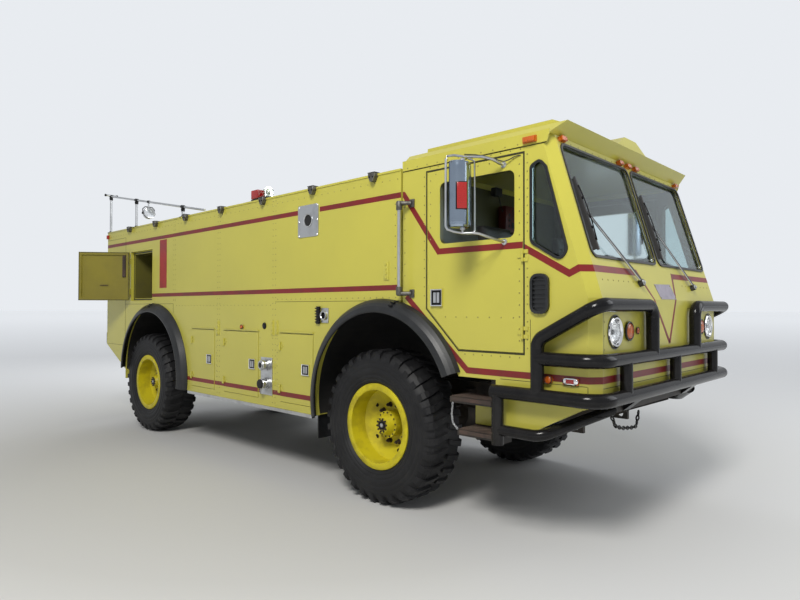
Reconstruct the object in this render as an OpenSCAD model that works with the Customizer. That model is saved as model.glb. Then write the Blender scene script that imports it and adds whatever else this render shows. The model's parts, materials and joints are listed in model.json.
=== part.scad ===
// Airport fire truck, full size. X forward, Y to the left, Z up, millimetres.
// The origin lies on the ground, on the centre plane, midway between the axles.

/* [Wheels and axles] */
// Distance from each axle to the origin
axle_x = 2284; // [2240:2:2320]
// Tyre radius out to the lug tips
tyre_r = 674; // [655:1:680]
// Tyre width across the sidewalls
tyre_w = 440; // [400:2:450]
// Distance of each tyre's middle from the centre plane
track_y = 1030; // [1015:1:1036]
// Radius of the rim's outer flange
rim_r = 372; // [340:1:390]
// How far inboard of the tyre's middle the steering pivot stands
kingpin_in = 230; // [224:1:236]

/* [Rear body] */
// Half the width of body and cab
half_w = 1250; // [1240:1:1280]
// Rear face of the body
body_rear = -3684; // [-3760:2:-3660]
// Front face of the body
body_front = 2610; // [2606:1:2618]
// Top of the body
body_top = 2878; // [2860:1:2884]
// Bottom edge of the body's sides
skirt_z = 676; // [660:1:690]
// Thickness of the body's side skin and its doors
skin = 40; // [30:1:45]
// Gap round each door
door_gap = 5; // [5:0.5:7]
// Depth of the lockers from the side
locker_depth = 520; // [420:5:540]

/* [Wheel arches] */
// Middle of the front arch
front_arch_x = 2380; // [2370:1:2390]
// Radius of the front arch
front_arch_r = 900; // [895:1:910]
// Middle of the rear arch
rear_arch_x = -2040; // [-2050:1:-2034]
// Radius of the rear arch
rear_arch_r = 930; // [925:1:940]
// How far the rubber flares stand out
flare_out = 100; // [60:1:110]

/* [Cab] */
// Rear face of the cab
cab_rear = 2632; // [2626:1:2640]
// Upright lower part of the cab's front
cab_front = 4335; // [4310:1:4360]
// Height where the front starts to lean back
rake_z = 1778; // [1740:1:1800]
// Lean of the windscreen from upright, in degrees
rake = 16.8; // [15:0.1:18]
// Thickness of the cab's walls
cab_wall = 40; // [34:1:46]
// Underside of the cab roof
roof_z = 2912; // [2905:1:2920]
// Top edge of the sun visor
roof_top = 2993; // [2985:1:3000]
// Top of the raised middle of the roof
crown_z = 3080; // [3040:1:3100]

/* [Cab doors] */
// Rear edge of the cab door
door_rear = 2904; // [2890:1:2920]
// Hinge edge of the cab door
door_front = 3790; // [3780:1:3800]
// Bottom edge of the cab door
door_low = 1397; // [1390:1:1420]
// Top edge of the cab door
door_high = 2800; // [2780:1:2810]
// Thickness of the cab door
door_t = 45; // [40:1:46]

/* [Bumper guard] */
// Middle of the guard's front tubes
guard_x = 4390; // [4385:1:4410]
// How far the middle of the guard's side tubes stands outside the cab's side
guard_out = 80; // [76:1:95]
// Radius of the guard's rails
guard_r = 48; // [40:1:52]
// Height of the guard's lower rail
guard_low = 1120; // [1110:1:1130]
// Height of the guard's middle rail
guard_mid = 1372; // [1360:1:1384]
// Height of the guard's upper hoops
guard_top = 1733; // [1720:1:1745]

/* [Hidden] */
$fn = 48;

lime = "#c9cc3f";
black = "#1c1d1f";
rubber = "#26272a";
steel = "#8d9196";
dark_steel = "#3a3b3d";

// Gap between pieces that rest on each other
seat_gap = 0.3;

// Axles, hubs and brakes
axle_z = tyre_r;
kingpin_y = track_y - kingpin_in;
housing_r = 75;
spindle_r = 55;
hub_fit = 0.05;
// How far the hub reaches inboard of the wheel's middle
hub_in = 160;
rail_y = 430;
rail_low = 800;
rail_high = 1040;
rail_t = 10;
rail_flange = 90;
rail_rear = -3560;
rail_front = 4180;
// The rails' underside rises from here to its height at the front end
horn_x = 3840;
horn_low = 930;
beam_low = 975;
tow_x = [3765, -3590];
tow_z = rail_low - 34;
cab_floor_low = 1370;
beam_y = half_w - 430;

// Signs of the two sides
right = -1;
left = 1;

// Rounded polygon: each corner is [x, y, radius], arcs of n pieces
function unit(v) = v / norm(v);
function arc_corner(a, p, b, r, n) =
    let (u = unit([a[0] - p[0], a[1] - p[1]]), w = unit([b[0] - p[0], b[1] - p[1]]),
         half = acos(u * w) / 2, c = [p[0], p[1]] + unit(u + w) * r / sin(half),
         s = [p[0], p[1]] + u * r / tan(half) - c, e = [p[0], p[1]] + w * r / tan(half) - c,
         turn = (s[0] * e[1] - s[1] * e[0] > 0 ? 1 : -1) * (180 - 2 * half))
    [for (i = [0 : n]) let (t = turn * i / n)
        c + [s[0] * cos(t) - s[1] * sin(t), s[0] * sin(t) + s[1] * cos(t)]];
function rounded(points, n = 4) = [for (i = [0 : len(points) - 1])
    let (m = len(points), p = points[i])
    each (p[2] == 0 ? [[p[0], p[1]]]
        : arc_corner(points[(i + m - 1) % m], p, points[(i + 1) % m], p[2], n))];
function plate_corners(x0, z0, x1, z1, r) = [[x0, z0, r], [x1, z0, r], [x1, z1, r], [x0, z1, r]];

// A side view profile (x, z) stretched from y0 to y1
module side(y0, y1) {
    translate([0, y1, 0]) rotate([90, 0, 0]) linear_extrude(y1 - y0) children();
}
// A box between two corners
module block(a, b) {
    translate(a) cube(b - a);
}
// A round bar along Y from y0 to y1
module bar_y(x, z, r, y0, y1) {
    translate([x, y1, z]) rotate([90, 0, 0]) cylinder(r = r, h = y1 - y0);
}
// A round bar along X from x0 to x1
module bar_x(y, z, r, x0, x1) {
    translate([x0, y, z]) rotate([0, 90, 0]) cylinder(r = r, h = x1 - x0);
}
// A round bar between two points
module bar(a, b, r) {
    d = b - a;
    translate(a) rotate([0, acos(d[2] / norm(d)), atan2(d[1], d[0])]) cylinder(r = r, h = norm(d));
}
// Puts what is built at the right side on the side of sign s
module on_side(s) {
    if (s == right) children();
    else mirror([0, 1, 0]) children();
}

// A tube bent at each inner point of a path, with one bend radius. The elbows are a hair
// thicker than the straights, which run a little way into them.
elbow_add = 0.5;
elbow_in = 1;
function leg_cut(p, i, bend) = (i == 0 || i == len(p) - 1) ? 0
    : bend * tan(acos(unit(p[i] - p[i - 1]) * unit(p[i + 1] - p[i])) / 2) - elbow_in;
module bent_tube(p, r, bend) {
    for (i = [0 : len(p) - 2]) {
        d = unit(p[i + 1] - p[i]);
        bar(p[i] + d * leg_cut(p, i, bend), p[i + 1] - d * leg_cut(p, i + 1, bend), r);
    }
    if (len(p) > 2) for (i = [1 : len(p) - 2]) elbow(p[i - 1], p[i], p[i + 1], r + elbow_add, bend);
}
module elbow(a, p, b, r, bend) {
    d = unit(p - a);
    e = unit(b - p);
    turn = acos(d * e);
    inward = unit(e - d * (d * e));
    c = p - d * bend * tan(turn / 2) + inward * bend;
    z = cross(-inward, d);
    multmatrix([[-inward[0], d[0], z[0], c[0]], [-inward[1], d[1], z[1], c[1]],
                [-inward[2], d[2], z[2], c[2]], [0, 0, 0, 1]])
        rotate_extrude(angle = turn) translate([bend, 0]) circle(r = r);
}

// Front face of the cab at a height
function face_x(z) = z < rake_z ? cab_front : cab_front - (z - rake_z) * tan(rake);
corner_in = 63;
corner_y = 80;
// Places what is drawn in (y, up) on the raked plane of the windscreen, at depth d inside it
module on_screen(d = 0) {
    translate([cab_front, 0, rake_z]) rotate([0, -rake, 0]) translate([-d, 0, 0]) rotate([90, 0, 90])
        children();
}

// Chassis

tow_eye_r = 30;
tow_plate = 34;
// Channel section of one side rail, its lower front corner cut off at a slant
module rail(s) {
    on_side(s) difference() {
        block([rail_rear, -rail_y - rail_t, rail_low], [rail_front, -rail_y + rail_flange, rail_high]);
        block([rail_rear - 1, -rail_y, rail_low + rail_t],
              [rail_front + 1, -rail_y + rail_flange + 1, rail_high - rail_t]);
        side(-rail_y - rail_t - 1, -rail_y + rail_flange + 1) polygon([
            [horn_x, rail_low - 1], [rail_front + 1, rail_low - 1], [rail_front + 1, horn_low]]);
    }
}
// Plate with an eye, bolted under a rail
module tow_lug(x, s) {
    tow_y = s * (rail_y - 5);
    difference() {
        block([x - tow_eye_r - 40, tow_y - tow_plate / 2, tow_z - tow_eye_r - 16],
              [x + tow_eye_r + 40, tow_y + tow_plate / 2, rail_low - seat_gap]);
        bar_y(x, tow_z, tow_eye_r, tow_y - tow_plate, tow_y + tow_plate);
    }
}
cross_x = [-3300, -1500, -700, 200, 1400, 3100, 3790];
cross_y = rail_y - seat_gap;
cross_low = rail_low + rail_t + 20;
module chassis_frame() {
    color(dark_steel) {
        for (s = [right, left]) rail(s);
        // Cross members between the webs of the rails
        for (x = cross_x)
            block([x - 40, -cross_y, cross_low], [x + 40, cross_y, rail_high - rail_t - 20]);
        // Front cross beam behind the guard
        block([rail_front + seat_gap, -beam_y, beam_low], [rail_front + 70, beam_y, rail_high - 10]);
        // Rear cross beam
        block([rail_rear - 60, -620, rail_low + 20], [rail_rear - seat_gap, 620, rail_high - 20]);
        for (s = [right, left]) for (x = tow_x) tow_lug(x, s);
        // Cab mounts from the rails up to the cab's floor
        for (s = [right, left]) on_side(s) for (x = [3420, 4020])
            block([x - 30, -rail_y - rail_t, rail_high + seat_gap],
                  [x + 30, -rail_y + 60, cab_floor_low - seat_gap]);
        // Spring hangers on the outside of the rails, over the ends of the longest leaf
        for (s = [right, left]) on_side(s) for (a = [-1, 1]) for (e = [-1, 1])
            block([a * axle_x + e * (leaf_reach - 25) - 30, -spring_y - leaf_w / 2, spring_end + seat_gap],
                  [a * axle_x + e * (leaf_reach - 25) + 30, -rail_y - rail_t - seat_gap, rail_high - 60]);
    }
}

// Springs: packs of curved leaves under each rail
leaf_reach = 500;
leaf_step = 80;
spring_y = rail_y + rail_t + 45;
leaf_t = 14;
leaf_w = 80;
leaf_count = 5;
spring_r = 2600;
spring_seat = axle_z + housing_r + seat_gap;
// Height of the longest leaf's top at its ends
spring_end = spring_seat + (leaf_count - 1) * leaf_t + spring_r
    - sqrt(pow(spring_r - leaf_t, 2) - pow(leaf_reach, 2));
module leaf_pack(x, s) {
    y = s * spring_y;
    for (i = [0 : leaf_count - 1]) {
        half = leaf_reach - i * leaf_step;
        translate([x, 0, spring_seat + (leaf_count - 1 - i) * leaf_t + spring_r])
            side(y - leaf_w / 2, y + leaf_w / 2) intersection() {
                difference() {
                    circle(r = spring_r, $fn = 200);
                    circle(r = spring_r - leaf_t + 0.01, $fn = 200);
                }
                translate([-half, -spring_r - 10]) square([2 * half, 400]);
            }
    }
}
module leaf_springs() {
    color(dark_steel) for (x = [-axle_x, axle_x]) for (s = [right, left]) leaf_pack(x, s);
}

// Axles

diff_r = 215;
module axle_housing(x, reach) {
    bar_y(x, axle_z, housing_r, -reach, reach);
    difference() {
        translate([x, 0, axle_z]) sphere(r = diff_r);
        block([x - diff_r - 1, -diff_r - 1, axle_z - diff_r - 1], [x + diff_r + 1, -120, axle_z + diff_r + 1]);
        block([x - diff_r - 1, 120, axle_z - diff_r - 1], [x + diff_r + 1, diff_r + 1, axle_z + diff_r + 1]);
    }
}
yoke_r = 62;
pin_r = 30;
pin_half = 150;
module front_axle() {
    color(dark_steel) {
        difference() {
            union() {
                axle_housing(axle_x, kingpin_y - 130);
                for (s = [right, left]) on_side(s) {
                    // Fork round the steering knuckle
                    block([axle_x - 70, -kingpin_y + 105, axle_z - 160],
                          [axle_x + 70, -kingpin_y + 135, axle_z + 160]);
                    for (z = [axle_z - 160, axle_z + 115]) {
                        block([axle_x - yoke_r, -kingpin_y, z], [axle_x + yoke_r, -kingpin_y + 110, z + 45]);
                        translate([axle_x, -kingpin_y, z]) cylinder(r = yoke_r, h = 45);
                    }
                }
            }
            for (s = [right, left]) translate([axle_x, s * kingpin_y, axle_z - 200])
                cylinder(r = pin_r + hub_fit, h = 400);
        }
    }
}
module rear_axle() {
    color(dark_steel) {
        axle_housing(-axle_x, track_y - 240);
        for (s = [right, left]) on_side(s) {
            bar_y(-axle_x, axle_z, 190, -track_y + hub_in + 2, -track_y + 240);
            bar_y(-axle_x, axle_z, spindle_r, -track_y - 60, -track_y + 201);
        }
    }
}
module knuckle(s) {
    on_side(s) color(dark_steel) {
        // Kingpin, held in the axle's fork
        translate([axle_x, -kingpin_y, axle_z - pin_half]) cylinder(r = pin_r, h = 2 * pin_half);
        translate([axle_x, -kingpin_y, axle_z - 113]) cylinder(r = yoke_r, h = 226);
        bar_y(axle_x, axle_z, 90, -track_y + hub_in + 1, -kingpin_y);
        bar_y(axle_x, axle_z, spindle_r, -track_y - 60, -track_y + 201);
        // Steering arm towards the track rod
        block([axle_x - 240, -kingpin_y - 30, axle_z - 112], [axle_x, -kingpin_y + 30, axle_z - 82]);
    }
}
module knuckle_right() { knuckle(right); }
module knuckle_left() { knuckle(left); }

// Wheels

bead_r = 318;
rim_flange_half = 190;
bead_half = rim_flange_half - 14 - seat_gap;
disc_y = -70;
disc_t = 22;
hub_r = 118;
nut_pcd_r = 150;
nut_count = 10;
module wheel(x, s) {
    on_side(s) translate([x, -track_y, axle_z]) color(lime) difference() {
        union() {
            // Rim with flanges, drawn as radius and width
            rotate([90, 0, 0]) rotate_extrude($fn = 72) polygon([
                [bead_r, -rim_flange_half], [rim_r, -rim_flange_half], [rim_r, -rim_flange_half + 14],
                [bead_r + 16, -rim_flange_half + 14], [bead_r + 16, rim_flange_half - 14],
                [rim_r, rim_flange_half - 14], [rim_r, rim_flange_half], [bead_r, rim_flange_half]]);
            // Dished disc
            rotate([90, 0, 0]) rotate_extrude($fn = 72) polygon([
                [spindle_r - 1, disc_y], [200, disc_y], [bead_r + 1, disc_y + 70],
                [bead_r + 1, disc_y + 70 + disc_t], [200, disc_y + disc_t], [spindle_r - 1, disc_y + disc_t]]);
            // Planetary hub and its cap
            rotate([90, 0, 0]) translate([0, 0, -hub_in]) cylinder(r = hub_r, h = hub_in + 55);
            rotate([90, 0, 0]) translate([0, 0, 54]) cylinder(r1 = hub_r - 20, r2 = 70, h = 60);
            // Wheel nuts
            for (i = [0 : nut_count - 1]) rotate([0, i * 360 / nut_count, 0])
                translate([nut_pcd_r + 20, 0, 0]) rotate([90, 0, 0]) translate([0, 0, disc_y + disc_t - 1])
                    cylinder(r = 16, h = 34, $fn = 6);
        }
        rotate([90, 0, 0]) translate([0, 0, -230]) cylinder(r = spindle_r + hub_fit, h = 230 + 62);
    }
}
module wheel_front_right() { wheel(axle_x, right); }
module wheel_front_left() { wheel(axle_x, left); }
module wheel_rear_right() { wheel(-axle_x, right); }
module wheel_rear_left() { wheel(-axle_x, left); }

tread_flat = 158;
tread_r = tyre_r - 22;
lug_count = 16;
lug_w = 56;
lug_slant = 14;
tyre_steps = 28;
module tyre(x, s) {
    inner = bead_r + 16 + seat_gap;
    half = tyre_w / 2;
    on_side(s) translate([x, -track_y, axle_z]) rotate([90, 0, 0]) color(rubber) {
        rotate_extrude($fn = tyre_steps) polygon([
            [inner, -bead_half], [rim_r + seat_gap, -bead_half], [480, -half], [tread_r - 60, -half + 8],
            [tread_r, -tread_flat], [tread_r, tread_flat], [tread_r - 60, half - 8], [480, half],
            [rim_r + seat_gap, bead_half], [inner, bead_half]]);
        // Slanted lugs in two rows, half a pitch apart, that wrap over the shoulders
        for (row = [-1, 1]) for (i = [0 : lug_count - 1])
            rotate([0, 0, (i + (row + 1) / 4) * 360 / lug_count]) rotate([row * lug_slant, 0, 0])
                translate([0, lug_w / 2, 0]) rotate([90, 0, 0]) linear_extrude(lug_w) polygon([
                    [tread_r - 30, row * 10], [tyre_r, row * 10], [tyre_r - 2, row * tread_flat],
                    [tyre_r - 50, row * (half - 10)], [tread_r - 66, row * (half - 12)]]);
    }
}
module tyre_front_right() { tyre(axle_x, right); }
module tyre_front_left() { tyre(axle_x, left); }
module tyre_rear_right() { tyre(-axle_x, right); }
module tyre_rear_left() { tyre(-axle_x, left); }

// Transfer case and prop shafts
case_x = 150;
shaft_r = 48;
module driveline() {
    color(steel) {
        // Transfer case, hung under a cross member
        block([case_x - 190, -180, axle_z - 80], [case_x + 190, 180, cross_low - seat_gap]);
        bar([case_x + 180, 0, axle_z + 20], [axle_x - diff_r - seat_gap, 0, axle_z], shaft_r);
        bar([case_x - 180, 0, axle_z + 20], [-axle_x + diff_r + seat_gap, 0, axle_z], shaft_r);
    }
}

// Engine, closed in at the rear
engine_x = [-3480, -2560];
engine_y = 340;
engine_z = [1060, 1760];
module engine_block() {
    color(steel) {
        block([engine_x[0], -engine_y, engine_z[0]], [engine_x[1], engine_y, engine_z[1]]);
        // Feet on the chassis rails
        for (x = [engine_x[0] + 100, engine_x[1] - 100]) for (s = [right, left]) on_side(s)
            block([x - 50, -rail_y, rail_high + seat_gap], [x + 50, -engine_y + 60, engine_z[0] + 40]);
    }
}

// Rear body

tail_z = 1149;
tail_x = -2981;
tail_low = 811;
well_add = 20;
bay_y = 560;
bay_top = 1800;
tunnel_top = 1180;
front_arch_z = 860;
rear_arch_z = 810;
// Low lockers: rear edge, front edge; they share one height
locker_x = [[-959, -422], [-199, 499], [906, 1439]];
locker_z = [751, 1448];
// High lockers near the rear
high_x = [-2811, -2115];
high_z = [1818, 2516];
engine_door_y = 520;
engine_door_z = [1230, 2050];
module body_profile() {
    polygon([[body_rear, tail_z], [tail_x, tail_low], [tail_x, skirt_z], [body_front, skirt_z],
             [body_front, body_top], [body_rear, body_top]]);
}
module locker_space(x, z, depth) {
    // The doorway takes the door with its gap, the space behind it is a frame narrower
    frame = 30;
    block([x[0] - door_gap, -half_w - 1, z[0] - door_gap],
          [x[1] + door_gap, -half_w + skin + 5, z[1] + door_gap]);
    block([x[0] + frame, -half_w, z[0] + frame], [x[1] - frame, -half_w + depth, z[1] - frame]);
}
drip_out = 16;
module rear_body() {
    color(lime) for (s = [right, left]) on_side(s) {
        // Fixed halves of the locker hinges, and drip strips over the low lockers
        for (x = locker_x) {
            on_edge(x[0], locker_z) hinge_fixed(-1);
            block([x[0] - 10, -half_w - drip_out, locker_z[1] + 14],
                  [x[1] + 10, -half_w + 1, locker_z[1] + 26]);
        }
        on_edge(high_x[0], high_z) hinge_fixed(-1);
    }
    color(lime) difference() {
        side(-half_w, half_w) body_profile();
        // Wheel wells through the body
        bar_y(front_arch_x, front_arch_z, front_arch_r, -half_w - 1, half_w + 1);
        bar_y(front_arch_x, front_arch_z, front_arch_r + well_add, -half_w + skin, half_w - skin);
        bar_y(rear_arch_x, rear_arch_z, rear_arch_r, -half_w - 1, half_w + 1);
        // Tunnel over the chassis
        block([body_rear - 1, -bay_y, skirt_z - 300], [body_front + 1, bay_y, tunnel_top]);
        // Engine bay with its rear doorway
        block([body_rear + 80, -bay_y, tunnel_top - 1], [-2400, bay_y, bay_top + 280]);
        block([body_rear - 1, -engine_door_y - door_gap, engine_door_z[0] - door_gap],
              [body_rear + 81, engine_door_y + door_gap, engine_door_z[1] + door_gap]);
        for (s = [right, left]) on_side(s) {
            for (x = locker_x) locker_space(x, locker_z, locker_depth);
            locker_space(high_x, high_z, locker_depth);
        }
    }
}

// Flares: a rounded band that leans in as it stands out, with mudflaps behind the front wheels
flare_in = 72;
module flare(x, z, r, start, end) {
    // One rounded arch band, from start to end degrees, drawn as radius and reach from the body side
    translate([x, -half_w - seat_gap, z]) rotate([90, 0, 0]) rotate([0, 0, start])
        rotate_extrude(angle = end - start, $fn = 96) polygon([
            [r + 6, 0], [r + 32, 0], [r + 32, 8], [r + 18, flare_out * 0.42], [r - 4, flare_out * 0.68],
            [r - 32, flare_out * 0.88], [r - flare_in + 8, flare_out - 2], [r - flare_in, flare_out],
            [r - flare_in - 14, flare_out - 4], [r - flare_in - 14, flare_out - 18],
            [r - flare_in + 4, flare_out - 20], [r - 34, flare_out * 0.72], [r - 12, flare_out * 0.5]]);
}
module fender_flares() {
    color(rubber) {
        for (s = [right, left]) on_side(s) {
            flare(front_arch_x, front_arch_z, front_arch_r, 23, 192);
            flare(rear_arch_x, rear_arch_z, rear_arch_r, -8, 178);
            // Mudflap behind the front wheel
            block([1440, -half_w + 60, 440], [1452, -half_w + 560, skirt_z - seat_gap]);
        }
    }
}

// Hinges. Drawn with the pin along Z at the origin, the fixed part on the side of -X, the door
// on the side of +X and the skin at y = hinge_out. The door carries the middle knuckle.
hinge_out = 14;
hinge_r = 9;
hinge_pin_r = 4;
hinge_pin_fit = 0.15;
hinge_h = 84;
hinge_third = 28;
hinge_gap = 1;
hinge_leaf = 42;
module hinge_fixed(under) {
    for (z = [-hinge_h / 2, hinge_third / 2 + hinge_gap]) {
        h = hinge_third - hinge_gap;
        translate([0, 0, z]) cylinder(r = hinge_r, h = h);
        block([-hinge_leaf, hinge_out - 8, z], [-2, hinge_out - under, z + h]);
    }
    translate([0, 0, -hinge_h / 2]) cylinder(r = hinge_pin_r, h = hinge_h);
}
module hinge_moving(under) {
    difference() {
        union() {
            translate([0, 0, -hinge_third / 2]) cylinder(r = hinge_r, h = hinge_third);
            block([3, hinge_out - 9, -hinge_third / 2], [hinge_leaf, hinge_out + under, hinge_third / 2]);
        }
        translate([0, 0, -hinge_h / 2]) cylinder(r = hinge_pin_r + hinge_pin_fit, h = hinge_h);
    }
}
// Turns a hinge onto the top edge of the engine door: pin along Y, door below, body in front
module on_engine_door() {
    for (y = [-360, 360])
        multmatrix([[0, 1, 0, body_rear - hinge_out], [0, 0, -1, y],
                    [-1, 0, 0, engine_door_z[1]], [0, 0, 0, 1]]) children();
}
// Puts a hinge at both ends of an upright door edge on the right side
module on_edge(x, z) {
    for (h = [z[0] + 130, z[1] - 130]) translate([x, -half_w - hinge_out, h]) children();
}

// Rails, hinges, drip strips and top brackets on the body's sides
bracket_x = [-2827, -1976, -1125, -261, 593, 1443, 2293];
module body_trim() {
    color(steel) for (s = [right, left]) on_side(s) {
        // Bright bottom rail between the arches
        block([-1060, -half_w - 10, skirt_z - 34], [1436, -half_w + 30, skirt_z - seat_gap]);
        // Hooks on the top edge
        for (x = bracket_x) side(-half_w - 46, -half_w - seat_gap) polygon([
            [x - 40, body_top + 12], [x + 40, body_top + 12], [x + 40, body_top - 20], [x + 16, body_top - 64],
            [x - 16, body_top - 64], [x - 40, body_top - 20]]);
        // Vent plate with its round port
        difference() {
            side(-half_w - 6, -half_w - seat_gap) polygon(rounded(plate_corners(1197, 2408, 1518, 2724, 24)));
            bar_y(1357, 2571, 62, -half_w - 20, -half_w + 10);
        }
    }
    color(steel) on_engine_door() hinge_fixed(seat_gap);
}

// Coupling panel on the right side with two hose couplings
coupling_x = 660;
coupling_z = [1111, 914];
coupling_pipe_r = 38;
coupling_reach = 86;
module coupling_panel() {
    color("#b9bcc0") {
        block([555, -half_w - 6, 794], [764, -half_w - seat_gap, 1188]);
        for (z = coupling_z) {
            bar_y(coupling_x, z, 62, -half_w - 26, -half_w - 5);
            bar_y(coupling_x, z, coupling_pipe_r + 6, -half_w - 50, -half_w - 25);
            bar_y(coupling_x, z, coupling_pipe_r, -half_w - coupling_reach, -half_w - 49);
            bar_y(coupling_x, z, coupling_pipe_r + 12, -half_w - 58, -half_w - 44);
        }
    }
}

// Doors of the low lockers, hinged at their rear edges
module locker_door(x, z, s) {
    on_side(s) color(lime) on_edge(x[0], z) hinge_moving(-3);
    on_side(s) color(lime) difference() {
        union() {
            block([x[0], -half_w - 4, z[0]], [x[1], -half_w + skin - 8, z[1]]);
            // Paddle latch
            block([x[1] - 166, -half_w - 12, (z[0] + z[1]) / 2 - 54],
                  [x[1] - 50, -half_w - 3, (z[0] + z[1]) / 2 + 58]);
        }
        // Hollow back of the pressed door
        block([x[0] + 40, -half_w + 10, z[0] + 40], [x[1] - 40, -half_w + skin, z[1] - 40]);
    }
}
module locker_door_right_1() { locker_door(locker_x[0], locker_z, right); }
module locker_door_right_2() { locker_door(locker_x[1], locker_z, right); }
module locker_door_right_3() { locker_door(locker_x[2], locker_z, right); }
module locker_door_left_1() { locker_door(locker_x[0], locker_z, left); }
module locker_door_left_2() { locker_door(locker_x[1], locker_z, left); }
module locker_door_left_3() { locker_door(locker_x[2], locker_z, left); }

// High locker doors; the right one stands open
high_open = 130;
module high_door(s) {
    angle = s == right ? high_open : 0;
    on_side(s) translate([high_x[0], -half_w - hinge_out, 0]) rotate([0, 0, -angle])
        translate([-high_x[0], half_w + hinge_out, 0]) color(lime) {
            on_edge(high_x[0], high_z) hinge_moving(-3);
            difference() {
                block([high_x[0], -half_w - 4, high_z[0]], [high_x[1], -half_w + skin - 8, high_z[1]]);
                block([high_x[0] + 40, -half_w + 10, high_z[0] + 40],
                      [high_x[1] - 40, -half_w + skin, high_z[1] - 40]);
            }
        }
}
module high_door_right() { high_door(right); }
module high_door_left() { high_door(left); }

// Engine door with louvres, hinged along its top
module engine_door() {
    color(lime) on_engine_door() hinge_moving(-3);
    color(lime) difference() {
        block([body_rear - 4, -engine_door_y, engine_door_z[0]],
              [body_rear + skin - 8, engine_door_y, engine_door_z[1]]);
        for (i = [0 : 7]) for (c = [-1, 1])
            block([body_rear - 10, c * 240 - 190, engine_door_z[0] + 120 + i * 75],
                  [body_rear + skin, c * 240 + 190, engine_door_z[0] + 150 + i * 75]);
    }
}

// Cab shell

cab_low = 1190;
valance_x = 3560;
valance_low = 873;
chin_z = 1100;
module cab_profile() {
    polygon([[cab_rear, cab_low], [valance_x, cab_low], [valance_x, valance_low], [3900, valance_low],
             [cab_front, chin_z], [cab_front, rake_z], [face_x(roof_z), roof_z], [cab_rear, roof_z]]);
}
module cab_outer() {
    intersection() {
        side(-half_w, half_w) cab_profile();
        // Upright part and leaning part, each with its two slanted corners
        union() {
            front_corners_low();
            front_corners_high();
        }
    }
}
module plan(x) {
    polygon([[cab_rear - 1, -half_w], [x - corner_in, -half_w], [x, -half_w + corner_y],
             [x, half_w - corner_y], [x - corner_in, half_w], [cab_rear - 1, half_w]]);
}
module front_corners_low() {
    translate([0, 0, valance_low - 10]) linear_extrude(rake_z - valance_low + 10) plan(cab_front);
}
// The leaning part is the same plan, cut square to the lean and turned onto it
module front_corners_high() {
    intersection() {
        translate([cab_front, 0, rake_z]) rotate([0, -rake, 0]) translate([0, 0, -900])
            linear_extrude(2700) polygon([
                [-2600, -half_w], [-corner_in * cos(rake), -half_w], [0, -half_w + corner_y],
                [0, half_w - corner_y], [-corner_in * cos(rake), half_w], [-2600, half_w]]);
        block([cab_rear - 2, -half_w - 1, rake_z - 0.01], [cab_front + 1, half_w + 1, roof_z + 1]);
    }
}
module door_profile(grow) {
    polygon([[door_rear - grow, door_high + grow], [door_rear - grow, 1710 - grow * 0.4],
             [3225 - grow * 0.4, door_low - grow], [door_front + grow, door_low - grow],
             [door_front + grow, door_high + grow]]);
}
// Corners of the quarter window: place along X, height, radius
quarter_window = [[3857, 2170, 50], [3857, 2700, 34], [3925, 2732, 30], [3972, 2680, 30], [4128, 2105, 46],
                  [4085, 2032, 46]];
// The same outline with every edge moved out by d
function grown(points, d) = [for (i = [0 : len(points) - 1])
    let (m = len(points), p = points[i], a = points[(i + m - 1) % m], b = points[(i + 1) % m],
         u = unit([p[0] - a[0], p[1] - a[1]]), w = unit([b[0] - p[0], b[1] - p[1]]),
         n = [-u[1], u[0]], o = [-w[1], w[0]])
    [p[0] + (n[0] + o[0]) * d / (1 + n * o), p[1] + (n[1] + o[1]) * d / (1 + n * o), p[2] + d]];
screen_y = [26, half_w - 110];
screen_v = [292, 1124];
screen_round = 60;
module screen_hole(grow) {
    for (s = [-1, 1]) polygon(rounded(plate_corners(
        s * screen_y[s == 1 ? 0 : 1] - grow, screen_v[0] - grow,
        s * screen_y[s == 1 ? 1 : 0] + grow, screen_v[1] + grow, screen_round + grow)));
}
module on_cab_hinges() {
    for (z = [1540, 2080]) translate([door_front, -half_w - hinge_out, z]) mirror([1, 0, 0]) children();
}
module cab_shell() {
    color(lime) for (s = [right, left]) on_side(s) on_cab_hinges() hinge_fixed(-1);
    color(lime) difference() {
        cab_outer();
        // Hollow inside, kept off the slanted corners
        side(-half_w + cab_wall, half_w - cab_wall) polygon([
            [cab_rear + cab_wall, 1000], [valance_x + cab_wall, 1000],
            [valance_x + cab_wall, valance_low - 1], [3900, valance_low - 1],
            [cab_front - 120, chin_z - 70], [cab_front - 120, rake_z], [face_x(roof_z) - 120, roof_z + 1],
            [cab_rear + cab_wall, roof_z + 1]]);
        side(-half_w + 110, half_w - 110) polygon([
            [3800, valance_low - 1], [3900, valance_low - 1],
            [cab_front - cab_wall, chin_z - 30], [cab_front - cab_wall, rake_z],
            [face_x(roof_z) - cab_wall, roof_z + 1], [3800, roof_z + 1]]);
        // Way through the wall behind the wheel for the chassis
        block([valance_x - 1, -half_w + 110, valance_low - 1], [valance_x + cab_wall + 1, half_w - 110, 1001]);
        bar_y(front_arch_x, front_arch_z, front_arch_r, -half_w - 1, half_w + 1);
        // Doorways
        for (s = [right, left]) on_side(s) side(-half_w - 1, -half_w + cab_wall + 1) door_profile(door_gap);
        // Quarter windows
        for (s = [right, left]) on_side(s) side(-half_w - 1, -half_w + cab_wall + 1)
            polygon(rounded(quarter_window));
        for (y = [-head_y, head_y])
            bar_x(y, head_z, head_r - 2, cab_front - cab_wall - 1, cab_front + 1);
        // Windscreen openings
        on_screen(90) linear_extrude(140) screen_hole(0);
        // Opening in the rear wall's foot over the wheel well
        block([cab_rear - 1, -half_w + 200, 1000], [cab_rear + cab_wall + 1, half_w - 200, 1765]);
    }
}

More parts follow.
